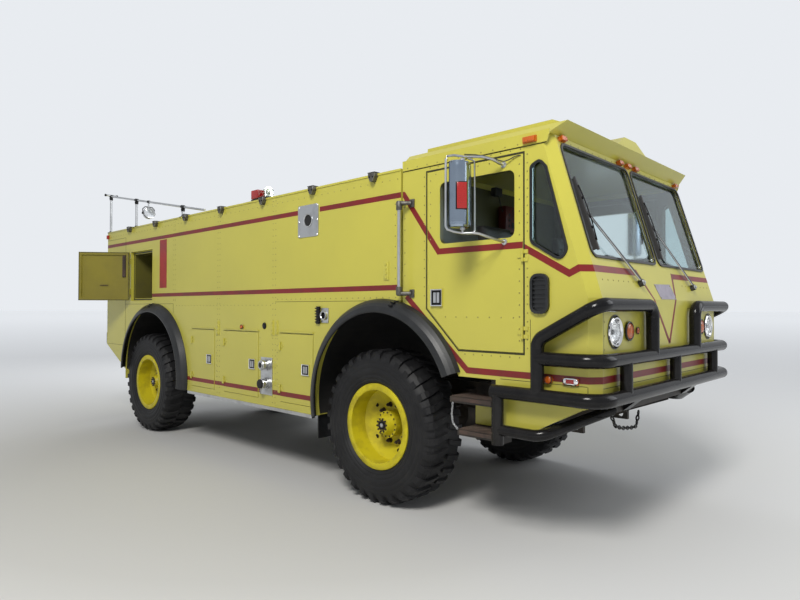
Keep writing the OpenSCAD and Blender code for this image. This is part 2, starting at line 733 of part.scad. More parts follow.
// Cab floor with the boxes over the front wheels
floor_z = 1400;
box_z = 1800;
module cab_floor() {
    color(dark_steel) difference() {
        side(-half_w + cab_wall + seat_gap, half_w - cab_wall - seat_gap) polygon([
            [cab_rear + cab_wall + seat_gap, box_z], [2960, box_z], [3290, floor_z], [4200, floor_z],
            [4200, cab_floor_low], [3265, cab_floor_low], [2945, box_z - 32],
            [cab_rear + cab_wall + seat_gap, box_z - 32]]);
        for (s = [right, left]) on_side(s) side(-half_w, -half_w + door_t + door_gap + 1)
            door_profile(door_gap + 1);
    }
}

// Cab roof with its sun visor, slanted side edges and raised middle
visor_x = 4091;
roof_edge_y = half_w - 81;
crown_y = half_w - 250;
module cab_roof() {
    drop = roof_top - roof_z;
    run = half_w - roof_edge_y;
    color(lime) difference() {
        union() {
            side(-half_w, half_w) polygon([[cab_rear, roof_z + seat_gap], [cab_rear, roof_top], [visor_x, roof_top],
                [face_x(roof_z) + 1, roof_z + seat_gap]]);
            side(-crown_y, crown_y) polygon([[2680, roof_top - 1], [2690, crown_z], [3880, crown_z],
                [4070, roof_top - 1]]);
            // Hatch with sloping sides
            hull() {
                block([3050, 50, roof_top], [3860, crown_y - 30, crown_z - 5]);
                block([3200, 450, crown_z], [3800, 700, crown_z + 190]);
            }
        }
        for (s = [right, left]) on_side(s) translate([cab_rear - 10, -half_w, roof_z])
            rotate([atan2(drop, run), 0, 0]) translate([0, -10, 0]) cube([2000, 400, 200]);
    }
}

// Glass: two windscreen panes and two quarter windows, 6 mm thick
glass_t = 6;
glass_in = 16;
module cab_glass() {
    color("#9fb6b4") {
        on_screen(glass_in + glass_t) linear_extrude(glass_t) screen_hole(-seat_gap);
        for (s = [right, left]) on_side(s) side(-half_w + glass_in, -half_w + glass_in + glass_t)
            polygon(rounded(grown(quarter_window, -seat_gap)));
    }
}
// Rubber seals round the fixed windows, proud of the skin, and the two black air inlets
seal_w = 20;
seal_out = 10;
inlet_x = [3855, 3998];
inlet_z = [1672, 1948];
inlet_out = 24;
module inlet_outline(inset) {
    polygon(rounded(plate_corners(inlet_x[0] + inset, inlet_z[0] + inset,
                                  inlet_x[1] - inset, inlet_z[1] - inset, 55 - inset)));
}
module window_seals() {
    color(black) {
        on_screen(-seat_gap) linear_extrude(seal_out) difference() {
            screen_hole(seal_w / 2 - 2);
            screen_hole(-seal_w / 2);
        }
        for (s = [right, left]) on_side(s) {
            side(-half_w - seal_out, -half_w - seat_gap) difference() {
                polygon(rounded(grown(quarter_window, seal_w / 2)));
                polygon(rounded(grown(quarter_window, -seal_w / 2)));
            }
            // Air inlet: a frame with slats before its back plate
            side(-half_w - inlet_out, -half_w - seat_gap) difference() {
                inlet_outline(0);
                inlet_outline(20);
            }
            side(-half_w - 6, -half_w - seat_gap) inlet_outline(8);
            for (z = [inlet_z[0] + 45 : 31 : inlet_z[1] - 40])
                block([inlet_x[0] + 14, -half_w - 18, z], [inlet_x[1] - 14, -half_w - 5, z + 8]);
        }
    }
}

// Cab door with its window open, hinged at its front edge
door_window = plate_corners(3030, 2216, 3720, 2700, 50);
module cab_door(s) {
    on_side(s) color(lime) on_cab_hinges() hinge_moving(1);
    on_side(s) color(lime) difference() {
        union() {
            side(-half_w, -half_w + door_t) door_profile(0);
            // Paddle handle near the rear edge
            block([2948, -half_w - 14, 1725], [3066, -half_w + 1, 1862]);
        }
        side(-half_w - 1, -half_w + door_t + 1) polygon(rounded(door_window));
    }
}
module cab_door_right() { cab_door(right); }
module cab_door_left() { cab_door(left); }

// Mirrors on brackets fixed to the doors
mirror_y = half_w + 270;
mirror_x = 3464;
mirror_z = [2276, 2752];
module mirrors(s) {
    on_side(s) color("#c7cacd") {
        translate([mirror_x, -mirror_y, mirror_z[0]]) linear_extrude(mirror_z[1] - mirror_z[0])
            polygon(rounded([[-50, -92, 30], [50, -92, 30], [34, 92, 30], [-50, 92, 30]]));
        bent_tube([[3630, -half_w - seat_gap, 2745], [3630, -half_w - 40, 2745],
                   [3630, -mirror_y + 100, 2775], [mirror_x, -mirror_y, 2785],
                   [mirror_x, -mirror_y, mirror_z[1] - 12]], 10, 24);
        bent_tube([[3636, -half_w - seat_gap, 2188], [3636, -half_w - 50, 2188],
                   [mirror_x, -mirror_y, 2236], [mirror_x, -mirror_y, mirror_z[0] + 14]], 10, 24);
    }
}
module mirrors_right() { mirrors(right); }
module mirrors_left() { mirrors(left); }

// Dashboard with its wheel
module dashboard() {
    color(black) {
        side(-half_w + cab_wall + 120, half_w - cab_wall - 120) polygon([
            [3980, floor_z + seat_gap], [3860, 1960], [3900, 2000], [4100, 1990], [4240, 1860], [4240, floor_z + seat_gap]]);
        translate([3760, 560, 2080]) rotate([0, 35, 0]) {
            rotate_extrude() translate([215, 0]) circle(r = 14, $fn = 24);
            translate([0, 0, -14]) cylinder(r = 50, h = 28);
            for (i = [0 : 2]) rotate([0, 0, i * 120]) rotate([0, 90, 0]) cylinder(r = 10, h = 214);
            rotate([0, 180, 0]) cylinder(r = 28, h = 230);
        }
    }
}
seat_y = [-620, 620];
seat_z = 1800;
module seats() {
    color(black) for (y = seat_y) {
        block([3120, y - 240, 1650], [3640, y + 240, seat_z]);
        side(y - 230, y + 230) polygon([
            [3125, seat_z + seat_gap], [3240, seat_z + seat_gap], [3160, 2420], [3060, 2420]]);
        block([3330, y - 160, floor_z + seat_gap], [3560, y + 160, 1650]);
    }
}

// Bumper guard: rails, posts and hoops of bent tube
guard_rear = 3586;
post_x = 3949;
post_r = 42;
hoop_y = 465;
guard_y = half_w + guard_out;
guard_post_y = [320 - half_w, 0, half_w - 320];
module bumper_guard() {
    g = guard_y;
    color(black) {
        bent_tube([[guard_rear, -g, guard_low], [guard_x, -g, guard_low], [guard_x, g, guard_low],
                   [guard_rear, g, guard_low]], guard_r, 150);
        bent_tube([[post_x, -g, guard_mid], [guard_x, -g, guard_mid], [guard_x, g, guard_mid],
                   [post_x, g, guard_mid]], guard_r - 1, 150);
        for (s = [right, left]) on_side(s) {
            bent_tube([[post_x, -g, guard_low], [post_x, -g, 1495], [guard_x, -g, guard_top],
                       [guard_x, -hoop_y, guard_top], [guard_x, -hoop_y, guard_mid]], guard_r - 2, 90);
            bar([guard_rear + 46, -g, guard_low], [guard_rear + 46, -g, 745], post_r);
            // Low tube, slanting in under the cab to the end of the front cross beam
            difference() {
                bent_tube([[guard_rear + 46, -g, 850], [post_x + 20, -g, 850],
                           [4240, -beam_y + 20, 1000]], post_r - 3, 120);
                block([4100, -beam_y - seat_gap, 800], [4400, -beam_y + 200, 1100]);
            }
        }
        for (y = guard_post_y) bar([guard_x, y, guard_low], [guard_x, y, guard_mid], post_r);
        // Brackets to the front cross beam
        for (y = [-600, 600]) side(y - 60, y + 60) polygon([
            [rail_front + 70 + seat_gap, beam_low], [guard_x - 20, guard_low - 44], [guard_x, guard_low],
            [guard_x - 20, guard_low], [guard_x - 38, guard_low - 35],
            [rail_front + 70 + seat_gap, rail_high - 20]]);
    }
}

// Two steps under each cab door, on side plates
step_x = [3135, 3540];
module cab_steps() {
    color(dark_steel) for (s = [right, left]) on_side(s) {
        block([step_x[0], -half_w, 985], [step_x[1], -half_w + 240, 1030]);
        block([3210, -half_w, 740], [step_x[1], -half_w + 240, 785]);
        block([3480, -half_w + 60, 700], [step_x[1], -half_w + 239, 1189]);
        // Arm that carries the steps from the chassis rail
        block([3400, -half_w + 200, 880], [3480, -rail_y - rail_t - seat_gap, 960]);
        block([3400, -half_w + 200, 700], [3481, -half_w + 238, 1000]);
    }
}

// Lamps
head_y = half_w - 266;
head_z = 1552;
head_r = 100;
head_in = 62;
module headlamps() {
    color("#d8dadb") for (y = [-head_y, head_y]) translate([cab_front + seat_gap, y, head_z]) rotate([0, 90, 0]) {
        // Sealed body in its pocket, bezel on the cab's face and bulged lens
        translate([0, 0, -head_in]) cylinder(r = head_r - 6, h = head_in + 2);
        cylinder(r = head_r + 8, h = 7);
        intersection() {
            translate([0, 0, 1]) cylinder(r = head_r - 16, h = 40);
            translate([0, 0, -180]) sphere(r = 200);
        }
    }
}
turn_y = half_w - 480;
small_y = half_w - 630;
roof_lamp_y = [150 - half_w, -155, 0, 155, half_w - 150];
module marker_lamps() {
    color("#c8501e") {
        for (s = [right, left]) on_side(s) {
            bar_x(-turn_y, head_z, 52, cab_front + seat_gap, cab_front + 8);
            bar_x(-small_y, head_z, 20, cab_front + seat_gap, cab_front + 7);
            // Side lamps at the front corner, on the cab's brow and on the body
            bar_y(3995, 1228, 30, -half_w - 20, -half_w - seat_gap);
            block([4100, -half_w - 16, 1206], [4210, -half_w - seat_gap, 1250]);
            block([3800, -half_w - 22, 2862], [3905, -half_w - seat_gap, 2906]);
            bar_y(182, 1500, 16, -half_w - 14, -half_w - seat_gap);
            block([body_rear - 30, -half_w + 120, 1560], [body_rear - seat_gap, -half_w + 220, 1800]);
        }
        // Lamps under the visor, on the lintel over the windscreen
        for (y = roof_lamp_y) on_screen(-seat_gap) translate([y - 38, 1140]) linear_extrude(20) square([76, 30]);
    }
}
module roof_beacon() {
    color("#b3281e") {
        block([250, 110 - half_w, body_top + seat_gap], [520, 190 - half_w, body_top + 42]);
        block([256, 104 - half_w, body_top + 41], [380, 196 - half_w, body_top + 140]);
        translate([450, 150 - half_w, body_top + 41]) cylinder(r = 52, h = 90);
        translate([450, 150 - half_w, body_top + 120]) sphere(r = 52);
    }
}

// Wipers: [pivot, arm's end, blade's top, blade's foot], each as (y, up the rake)
wiper_set = [[[-482, 120], [163 - half_w, 602], [144 - half_w, 864], [188 - half_w, 335]],
             [[646, 116], [74, 625], [60, 900], [95, 340]]];
blade_w = 18;
lip_w = 6;
module strip(a, b, w) {
    d = unit(b - a);
    n = [-d[1], d[0]] * w / 2;
    polygon([a + n, a - n, b - n, b + n]);
}
module wipers() {
    color(black) for (w = wiper_set) {
        on_screen(-seat_gap) translate(w[0]) cylinder(r = 26, h = 34);
        on_screen(-24) linear_extrude(9) strip(w[0], w[1], 22);
        on_screen(-14) linear_extrude(14) strip(w[2], w[3], blade_w);
        // Rubber lip down to the glass
        inset = unit(w[3] - w[2]) * 8;
        on_screen(glass_in - seat_gap) linear_extrude(glass_in + 19) strip(w[2] + inset, w[3] - inset, lip_w);
    }
}

// Grab rails on the cab and the hand rail on the body's rear roof
roof_rail_y = half_w - 30;
rail_posts = [-3650, -2710, -1294];
rail_foot = -730;
spot_x = -2310;
function roof_rail_z(x) = body_top + 34 - (x - rail_foot) * 0.184;
module handrails() {
    color("#b9bcc0") {
        for (s = [right, left]) on_side(s) {
            bent_tube([[2660, -half_w - seat_gap, 1830], [2660, -half_w - 75, 1830], [2660, -half_w - 75, 2574],
                       [2660, -half_w - seat_gap, 2574]], 16, 30);
        }
        // Sloping rail over the right side's rear, on three posts, with a crosspiece and a hanging lamp
        for (x = rail_posts)
            bar([x, -roof_rail_y, body_top + seat_gap], [x, -roof_rail_y, roof_rail_z(x)], 17);
        bar([rail_posts[0] - 40, -roof_rail_y, roof_rail_z(rail_posts[0] - 40)],
            [rail_foot, -roof_rail_y, roof_rail_z(rail_foot)], 14);
        bar([rail_posts[0], -roof_rail_y - 95, roof_rail_z(rail_posts[0]) + 12],
            [rail_posts[0], -roof_rail_y + 95, roof_rail_z(rail_posts[0]) + 12], 15);
        bar([spot_x, -roof_rail_y, roof_rail_z(spot_x)], [spot_x, -roof_rail_y, roof_rail_z(spot_x) - 100], 10);
        translate([spot_x, -roof_rail_y, roof_rail_z(spot_x) - 165]) rotate([0, 90, -14]) {
            cylinder(r = 78, h = 26);
            translate([0, 0, -62]) cylinder(r1 = 42, r2 = 76, h = 63);
        }
    }
}

chassis_frame();
driveline();
engine_block();
front_axle();
rear_axle();
leaf_springs();
knuckle_right();
knuckle_left();
tyre_front_right();
tyre_front_left();
tyre_rear_right();
tyre_rear_left();
wheel_front_right();
wheel_front_left();
wheel_rear_right();
wheel_rear_left();
rear_body();
body_trim();
fender_flares();
coupling_panel();
handrails();
roof_beacon();
locker_door_right_1();
locker_door_right_2();
locker_door_right_3();
locker_door_left_1();
locker_door_left_2();
locker_door_left_3();
high_door_right();
high_door_left();
engine_door();
cab_shell();
cab_floor();
cab_roof();
cab_glass();
window_seals();
dashboard();
seats();
cab_door_right();
cab_door_left();
mirrors_right();
mirrors_left();
bumper_guard();
cab_steps();
headlamps();
marker_lamps();
wipers();
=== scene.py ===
# %% [markdown]
# # An airport fire truck, dressed for its picture
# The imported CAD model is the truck's fixed frame: its chassis, body, cab, doors and wheels stand
# where they are. This script loads it, gives every part a finish of shader nodes, and adds what is
# too fine for the CAD source: stripes, rivets, tread, lenses, seams and padding.

# %% Load the frame
import json
import math
import bmesh
import bpy
from mathutils import Matrix, Vector
from mathutils.bvhtree import BVHTree


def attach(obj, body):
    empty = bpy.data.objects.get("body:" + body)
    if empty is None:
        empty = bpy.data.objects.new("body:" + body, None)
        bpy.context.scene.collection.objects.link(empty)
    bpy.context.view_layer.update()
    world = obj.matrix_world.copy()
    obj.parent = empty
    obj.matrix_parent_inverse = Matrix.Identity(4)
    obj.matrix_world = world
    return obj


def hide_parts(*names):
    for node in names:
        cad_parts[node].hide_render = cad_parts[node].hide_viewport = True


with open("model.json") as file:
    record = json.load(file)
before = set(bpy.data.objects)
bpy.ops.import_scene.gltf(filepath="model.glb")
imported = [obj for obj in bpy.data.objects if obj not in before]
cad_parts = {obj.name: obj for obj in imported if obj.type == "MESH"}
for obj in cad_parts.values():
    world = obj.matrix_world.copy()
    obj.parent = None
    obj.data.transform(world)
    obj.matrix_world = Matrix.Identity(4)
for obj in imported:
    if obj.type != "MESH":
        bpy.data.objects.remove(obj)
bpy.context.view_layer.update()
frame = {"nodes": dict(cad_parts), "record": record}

node = frame["nodes"]

# %% [markdown]
# ## The camera
# The photograph was taken standing in front of the truck's right front corner, with a wide lens at
# head height. Place, direction and lens were solved from corners whose real places are known.

# %% Camera
CAMERA_AT = Vector((6.057, -4.897, 1.705))
YAW, PITCH, ROLL = math.radians(133.47), math.radians(0.836), math.radians(0.11)
look = Vector((math.cos(YAW) * math.cos(PITCH), math.sin(YAW) * math.cos(PITCH), math.sin(PITCH)))
eye = bpy.data.cameras.new("camera")
eye.sensor_width = 36.0
eye.lens = 599.6 / 800 * eye.sensor_width
eye.clip_start, eye.clip_end = 0.05, 400
camera = bpy.data.objects.new("camera", eye)
camera.rotation_mode = "QUATERNION"
camera.location = CAMERA_AT
camera.rotation_quaternion = look.to_track_quat("-Z", "Y") @ Matrix.Rotation(ROLL, 3, "Z").to_quaternion()
bpy.context.scene.collection.objects.link(camera)
bpy.context.scene.camera = camera
print("lens", round(eye.lens, 2), "mm")

# %% [markdown]
# ## Measures that the pieces share
# The same names and numbers as the CAD source, in metres. The cab's front leans back above
# RAKE_Z, and its corners are cut off by a narrow slanted face.

# %% Shared measures
HALF_W = 1.250
CAB_FRONT, RAKE_Z, RAKE = 4.335, 1.778, math.radians(16.8)
CORNER_IN, CORNER_Y = 0.063, 0.080
AXLE_X, TRACK_Y, TYRE_R = 2.284, 1.030, 0.674
FRONT_ARCH, REAR_ARCH = (2.380, 0.860, 0.900), (-2.040, 0.810, 0.930)
LOCKERS = [(-0.959, -0.422), (-0.199, 0.499), (0.906, 1.439)]
LOCKER_Z = (0.751, 1.448)
HIGH_DOOR, HIGH_Z = (-2.811, -2.115), (1.818, 2.516)
SIDES = {"right": -1, "left": 1}


def front_x(z):
    """The cab front's place along X at a height."""
    return CAB_FRONT - max(0.0, z - RAKE_Z) * math.tan(RAKE)


def on_side(s):
    """Places (x, z, out) on the body's side of sign s."""
    return lambda x, z, out=0.0: Vector((x, s * (HALF_W + out), z))


def on_screen(y, v, out=0.0):
    """Places (y, up the lean, out) on the leaning front of the cab."""
    return Vector((CAB_FRONT - v * math.sin(RAKE) + out * math.cos(RAKE), y,
                   RAKE_Z + v * math.cos(RAKE) + out * math.sin(RAKE)))


def on_front(y, z, out=0.0):
    """Places (y, z, out) on the upright lower front of the cab."""
    return Vector((CAB_FRONT + out, y, z))


# %% [markdown]
# ## Shared shader groups
# Dust, worn edges and the fine ripple of sprayed paint return on many parts. Each is a node group
# with named inputs, made once and placed in each material with its own numbers. The patterns use
# Object coordinates, which equal real metres here because no part is moved or scaled.


# %% Node helpers
def set_inputs(shader_node, **values):
    """Sets a node's unlinked inputs by name."""
    for key, value in values.items():
        shader_node.inputs[key.replace("_", " ")].default_value = value


def add(tree, kind, **inputs):
    """A new node with its unlinked inputs set by name."""
    made = tree.nodes.new(kind)
    set_inputs(made, **inputs)
    return made


def new_material(title):
    """A new material, its node tree and its Principled shader."""
    made = bpy.data.materials.new(title)
    made.use_nodes = True
    return made, made.node_tree, made.node_tree.nodes["Principled BSDF"]


def math_node(tree, operation, a, b=None, clamp=False):
    """A Math node fed by sockets or numbers."""
    made = tree.nodes.new("ShaderNodeMath")
    made.operation, made.use_clamp = operation, clamp
    for i, value in enumerate([a, b]):
        if value is None:
            continue
        if isinstance(value, (int, float)):
            made.inputs[i].default_value = value
        else:
            tree.links.new(value, made.inputs[i])
    return made.outputs[0]


def spread(tree, value, low, high, to_low=0.0, to_high=1.0):
    """A Map Range from low..high to to_low..to_high, clamped."""
    made = tree.nodes.new("ShaderNodeMapRange")
    for key, number in zip(["From Min", "From Max", "To Min", "To Max"], [low, high, to_low, to_high]):
        made.inputs[key].default_value = number
    tree.links.new(value, made.inputs["Value"])
    return made.outputs["Result"]


def blend_colour(tree, factor, a, b):
    """Mixes two colours, each a socket or a plain colour."""
    made = tree.nodes.new("ShaderNodeMix")
    made.data_type = "RGBA"
    for name_, value in (("Factor", factor), ("A", a), ("B", b)):
        kinds = "VALUE" if name_ == "Factor" else "RGBA"
        socket = next(i for i in made.inputs if i.name == name_ and i.type == kinds)
        if isinstance(value, bpy.types.NodeSocket):
            tree.links.new(value, socket)
        else:
            socket.default_value = value
    return next(o for o in made.outputs if o.type == "RGBA")


def group(title, inputs, outputs):
    """A node group with (name, type, default) inputs; returns the tree and its two end nodes."""
    tree = bpy.data.node_groups.new(title, "ShaderNodeTree")
    for name_, kind, default in inputs:
        made = tree.interface.new_socket(name=name_, in_out="INPUT", socket_type=kind)
        made.default_value = default
    for name_, kind in outputs:
        tree.interface.new_socket(name=name_, in_out="OUTPUT", socket_type=kind)
    return tree, tree.nodes.new("NodeGroupInput"), tree.nodes.new("NodeGroupOutput")


def noise(tree, scale, detail=3.0, rough=0.55, coords=None):
    """Noise on Object coordinates; returns its value socket."""
    made = tree.nodes.new("ShaderNodeTexNoise")
    made.inputs["Detail"].default_value = detail
    made.inputs["Roughness"].default_value = rough
    if isinstance(scale, (int, float)):
        made.inputs["Scale"].default_value = scale
    else:
        tree.links.new(scale, made.inputs["Scale"])
    if coords is None:
        coords = tree.nodes.new("ShaderNodeTexCoord").outputs["Object"]
    tree.links.new(coords, made.inputs["Vector"])
    return made.outputs["Fac"]


# %% [markdown]
# ### Dust
# Yard dust lies thickest low down on the truck and on faces that look up, and it comes in patches.
# Three masks are multiplied or added: height, the upward part of the normal, and noise.

# %% Dust group
dust_tree, dust_in, dust_out = group(
    "road_dust",
    [("Base Color", "NodeSocketColor", (0.5, 0.5, 0.5, 1)), ("Roughness", "NodeSocketFloat", 0.4),
     ("Dust Color", "NodeSocketColor", (0.36, 0.30, 0.22, 1)), ("Amount", "NodeSocketFloat", 0.3),
     ("Top Height", "NodeSocketFloat", 1.4), ("Patch Scale", "NodeSocketFloat", 3.0)],
    [("Color", "NodeSocketColor"), ("Roughness", "NodeSocketFloat"), ("Mask", "NodeSocketFloat")])
parts = dust_tree.nodes.new("ShaderNodeSeparateXYZ")
dust_tree.links.new(dust_tree.nodes.new("ShaderNodeTexCoord").outputs["Object"], parts.inputs[0])
low_part = math_node(dust_tree, "SUBTRACT", 1.0,
                     math_node(dust_tree, "DIVIDE", parts.outputs["Z"], dust_in.outputs["Top Height"]),
                     clamp=True)
facing = dust_tree.nodes.new("ShaderNodeSeparateXYZ")
dust_tree.links.new(dust_tree.nodes.new("ShaderNodeNewGeometry").outputs["Normal"], facing.inputs[0])
upward = spread(dust_tree, facing.outputs["Z"], 0.3, 1.0, 0.0, 0.6)
patches = spread(dust_tree, noise(dust_tree, dust_in.outputs["Patch Scale"], 5.0, 0.62), 0.35, 0.72, 0.25, 1.0)
fine = spread(dust_tree, noise(dust_tree, 60.0, 3.0, 0.6), 0.3, 0.7, 0.7, 1.0)
dust = math_node(dust_tree, "ADD", low_part, upward)
for other in (patches, fine, dust_in.outputs["Amount"]):
    dust = math_node(dust_tree, "MULTIPLY", dust, other)
dust = math_node(dust_tree, "MINIMUM", dust, 1.0)
dust_tree.links.new(blend_colour(dust_tree, dust, dust_in.outputs["Base Color"], dust_in.outputs["Dust Color"]),
                    dust_out.inputs["Color"])
rough = dust_tree.nodes.new("ShaderNodeMix")
dust_tree.links.new(dust, rough.inputs[0])
dust_tree.links.new(dust_in.outputs["Roughness"], rough.inputs[2])
rough.inputs[3].default_value = 0.92
dust_tree.links.new(rough.outputs[0], dust_out.inputs["Roughness"])
dust_tree.links.new(dust, dust_out.inputs["Mask"])

# %% [markdown]
# ### Worn edges
# A Bevel node rounds the normal near an edge. Where it differs from the true normal an edge is
# near, and noise breaks that line into chips and rubbed spots.

# %% Edge wear group
wear_tree, wear_in, wear_out = group(
    "worn_edges",
    [("Base Color", "NodeSocketColor", (0.5, 0.5, 0.5, 1)),
     ("Bare Color", "NodeSocketColor", (0.2, 0.2, 0.2, 1)),
     ("Amount", "NodeSocketFloat", 0.5), ("Chip Scale", "NodeSocketFloat", 40.0)],
    [("Color", "NodeSocketColor"), ("Mask", "NodeSocketFloat")])
rounded_normal = add(wear_tree, "ShaderNodeBevel", Radius=0.004)
rounded_normal.samples = 4
true_normal = wear_tree.nodes.new("ShaderNodeNewGeometry")
near = wear_tree.nodes.new("ShaderNodeVectorMath")
near.operation = "DOT_PRODUCT"
wear_tree.links.new(rounded_normal.outputs["Normal"], near.inputs[0])
wear_tree.links.new(true_normal.outputs["Normal"], near.inputs[1])
edge = spread(wear_tree, near.outputs["Value"], 0.999, 0.90, 0.0, 1.0)
chips = spread(wear_tree, noise(wear_tree, wear_in.outputs["Chip Scale"], 4.0, 0.7), 0.52, 0.60)
wear = edge
for other in (chips, wear_in.outputs["Amount"]):
    wear = math_node(wear_tree, "MULTIPLY", wear, other)
wear_tree.links.new(blend_colour(wear_tree, wear, wear_in.outputs["Base Color"], wear_in.outputs["Bare Color"]),
                    wear_out.inputs["Color"])
wear_tree.links.new(wear, wear_out.inputs["Mask"])

# %% [markdown]
# ### Surface relief
# One group gives a height from two noises: a wide one for panels that aren't quite flat, and a
# fine one for sprayed paint, cast metal or moulded rubber.

# %% Relief group
relief_tree, relief_in, relief_out = group(
    "surface_relief",
    [("Wide Scale", "NodeSocketFloat", 1.5), ("Wide Height", "NodeSocketFloat", 1.0),
     ("Fine Scale", "NodeSocketFloat", 300.0), ("Fine Height", "NodeSocketFloat", 0.05)],
    [("Height", "NodeSocketFloat")])
wide = math_node(relief_tree, "MULTIPLY", noise(relief_tree, relief_in.outputs["Wide Scale"], 2.0, 0.5),
                 relief_in.outputs["Wide Height"])
small = math_node(relief_tree, "MULTIPLY", noise(relief_tree, relief_in.outputs["Fine Scale"], 3.0, 0.6),
                  relief_in.outputs["Fine Height"])
relief_tree.links.new(math_node(relief_tree, "ADD", wide, small), relief_out.inputs["Height"])

# %% [markdown]
# ## The finishes
# One function lays a Principled shader over the three groups. What is the same all over a surface
# is a plain number on the shader, and what changes comes through the groups.


# %% Material maker
for flat_colour in list(bpy.data.materials):
    bpy.data.materials.remove(flat_colour)


def place_group(tree, kind, **values):
    """A shared group placed in a tree with its own numbers."""
    made = tree.nodes.new("ShaderNodeGroup")
    made.node_tree = bpy.data.node_groups[kind]
    set_inputs(made, **values)
    return made


def rgba(colour):
    return (*colour, 1.0)


def finish_of(title, colour, roughness, metallic=0.0, second=None, mottle=(6.0, 0.45, 0.62), dust=0.25,
              dust_top=1.4, dust_colour=(0.36, 0.30, 0.22), wear=0.0, bare=(0.16, 0.15, 0.14),
              wide=(1.5, 0.0), fine=(300.0, 0.02), bump=0.5, distance=0.002, **plain):
    """A finish: two colours mottled together, worn edges, dust and relief under one Principled."""
    made, tree, shader = new_material(title)
    shade = blend_colour(tree, spread(tree, noise(tree, mottle[0], 4.0, 0.6), mottle[1], mottle[2]),
                         rgba(colour), rgba(second or [c * 0.86 for c in colour]))
    if wear:
        worn = place_group(tree, "worn_edges", Bare_Color=rgba(bare), Amount=wear)
        tree.links.new(shade, worn.inputs["Base Color"])
        shade = worn.outputs["Color"]
    dusty = place_group(tree, "road_dust", Roughness=roughness, Dust_Color=rgba(dust_colour), Amount=dust,
                        Top_Height=dust_top)
    tree.links.new(shade, dusty.inputs["Base Color"])
    tree.links.new(dusty.outputs["Color"], shader.inputs["Base Color"])
    tree.links.new(dusty.outputs["Roughness"], shader.inputs["Roughness"])
    relief = place_group(tree, "surface_relief", Wide_Scale=wide[0], Wide_Height=wide[1],
                         Fine_Scale=fine[0], Fine_Height=fine[1])
    bumped = add(tree, "ShaderNodeBump", Strength=bump, Distance=distance)
    tree.links.new(relief.outputs["Height"], bumped.inputs["Height"])
    tree.links.new(bumped.outputs["Normal"], shader.inputs["Normal"])
    set_inputs(shader, Metallic=metallic, **plain)
    made.diffuse_color = rgba(colour)
    return made


# %% [markdown]
# Each paint, metal and plastic is one call: its two shades, how rough it is, and how much dust and
# wear it carries.

# %% Paints
LIME = (0.535, 0.490, 0.068)
lime_paint = finish_of("lime_paint", LIME, 0.34, second=(0.490, 0.450, 0.066), mottle=(1.1, 0.3, 0.7),
                       dust=0.22, dust_top=1.9, dust_colour=(0.28, 0.24, 0.14), wear=0.5,
                       bare=(0.30, 0.27, 0.10),
                       wide=(1.3, 1.0), fine=(420.0, 0.012), bump=0.35, distance=0.006, Coat_Weight=0.25,
                       Coat_Roughness=0.12)
wheel_paint = finish_of("wheel_paint", (0.560, 0.480, 0.010), 0.42, second=(0.42, 0.35, 0.010), dust=0.06,
                        dust_top=1.6, wear=0.8, bare=(0.12, 0.07, 0.04), fine=(260.0, 0.05),
                        Specular_IOR_Level=0.35)
stripe_red = finish_of("stripe_red", (0.190, 0.008, 0.008), 0.36, second=(0.150, 0.010, 0.010), dust=0.06,
                       dust_top=1.9, fine=(500.0, 0.01))
guard_black = finish_of("guard_black", (0.005, 0.005, 0.006), 0.17, second=(0.008, 0.008, 0.009), dust=0.04,
                        dust_top=1.8, wear=0.35, bare=(0.16, 0.15, 0.14), fine=(350.0, 0.06), bump=0.3,
                        Specular_IOR_Level=0.22)
chassis_black = finish_of("chassis_black", (0.013, 0.012, 0.012), 0.50, second=(0.028, 0.022, 0.018), dust=0.24,
                          dust_top=1.5, wear=0.5, bare=(0.17, 0.10, 0.06), fine=(180.0, 0.2),
                          Specular_IOR_Level=0.3)
machinery_grey = finish_of("machinery_grey", (0.21, 0.22, 0.225), 0.55, metallic=0.35,
                           second=(0.13, 0.125, 0.12), dust=0.5, wear=0.3, fine=(220.0, 0.3))
bright_metal = finish_of("bright_metal", (0.62, 0.63, 0.64), 0.28, metallic=1.0, second=(0.52, 0.53, 0.54),
                         dust=0.22, dust_top=1.9, fine=(500.0, 0.03))
cab_black = finish_of("cab_black", (0.030, 0.030, 0.031), 0.62, dust=0.15, dust_top=3.0, fine=(600.0, 0.25))
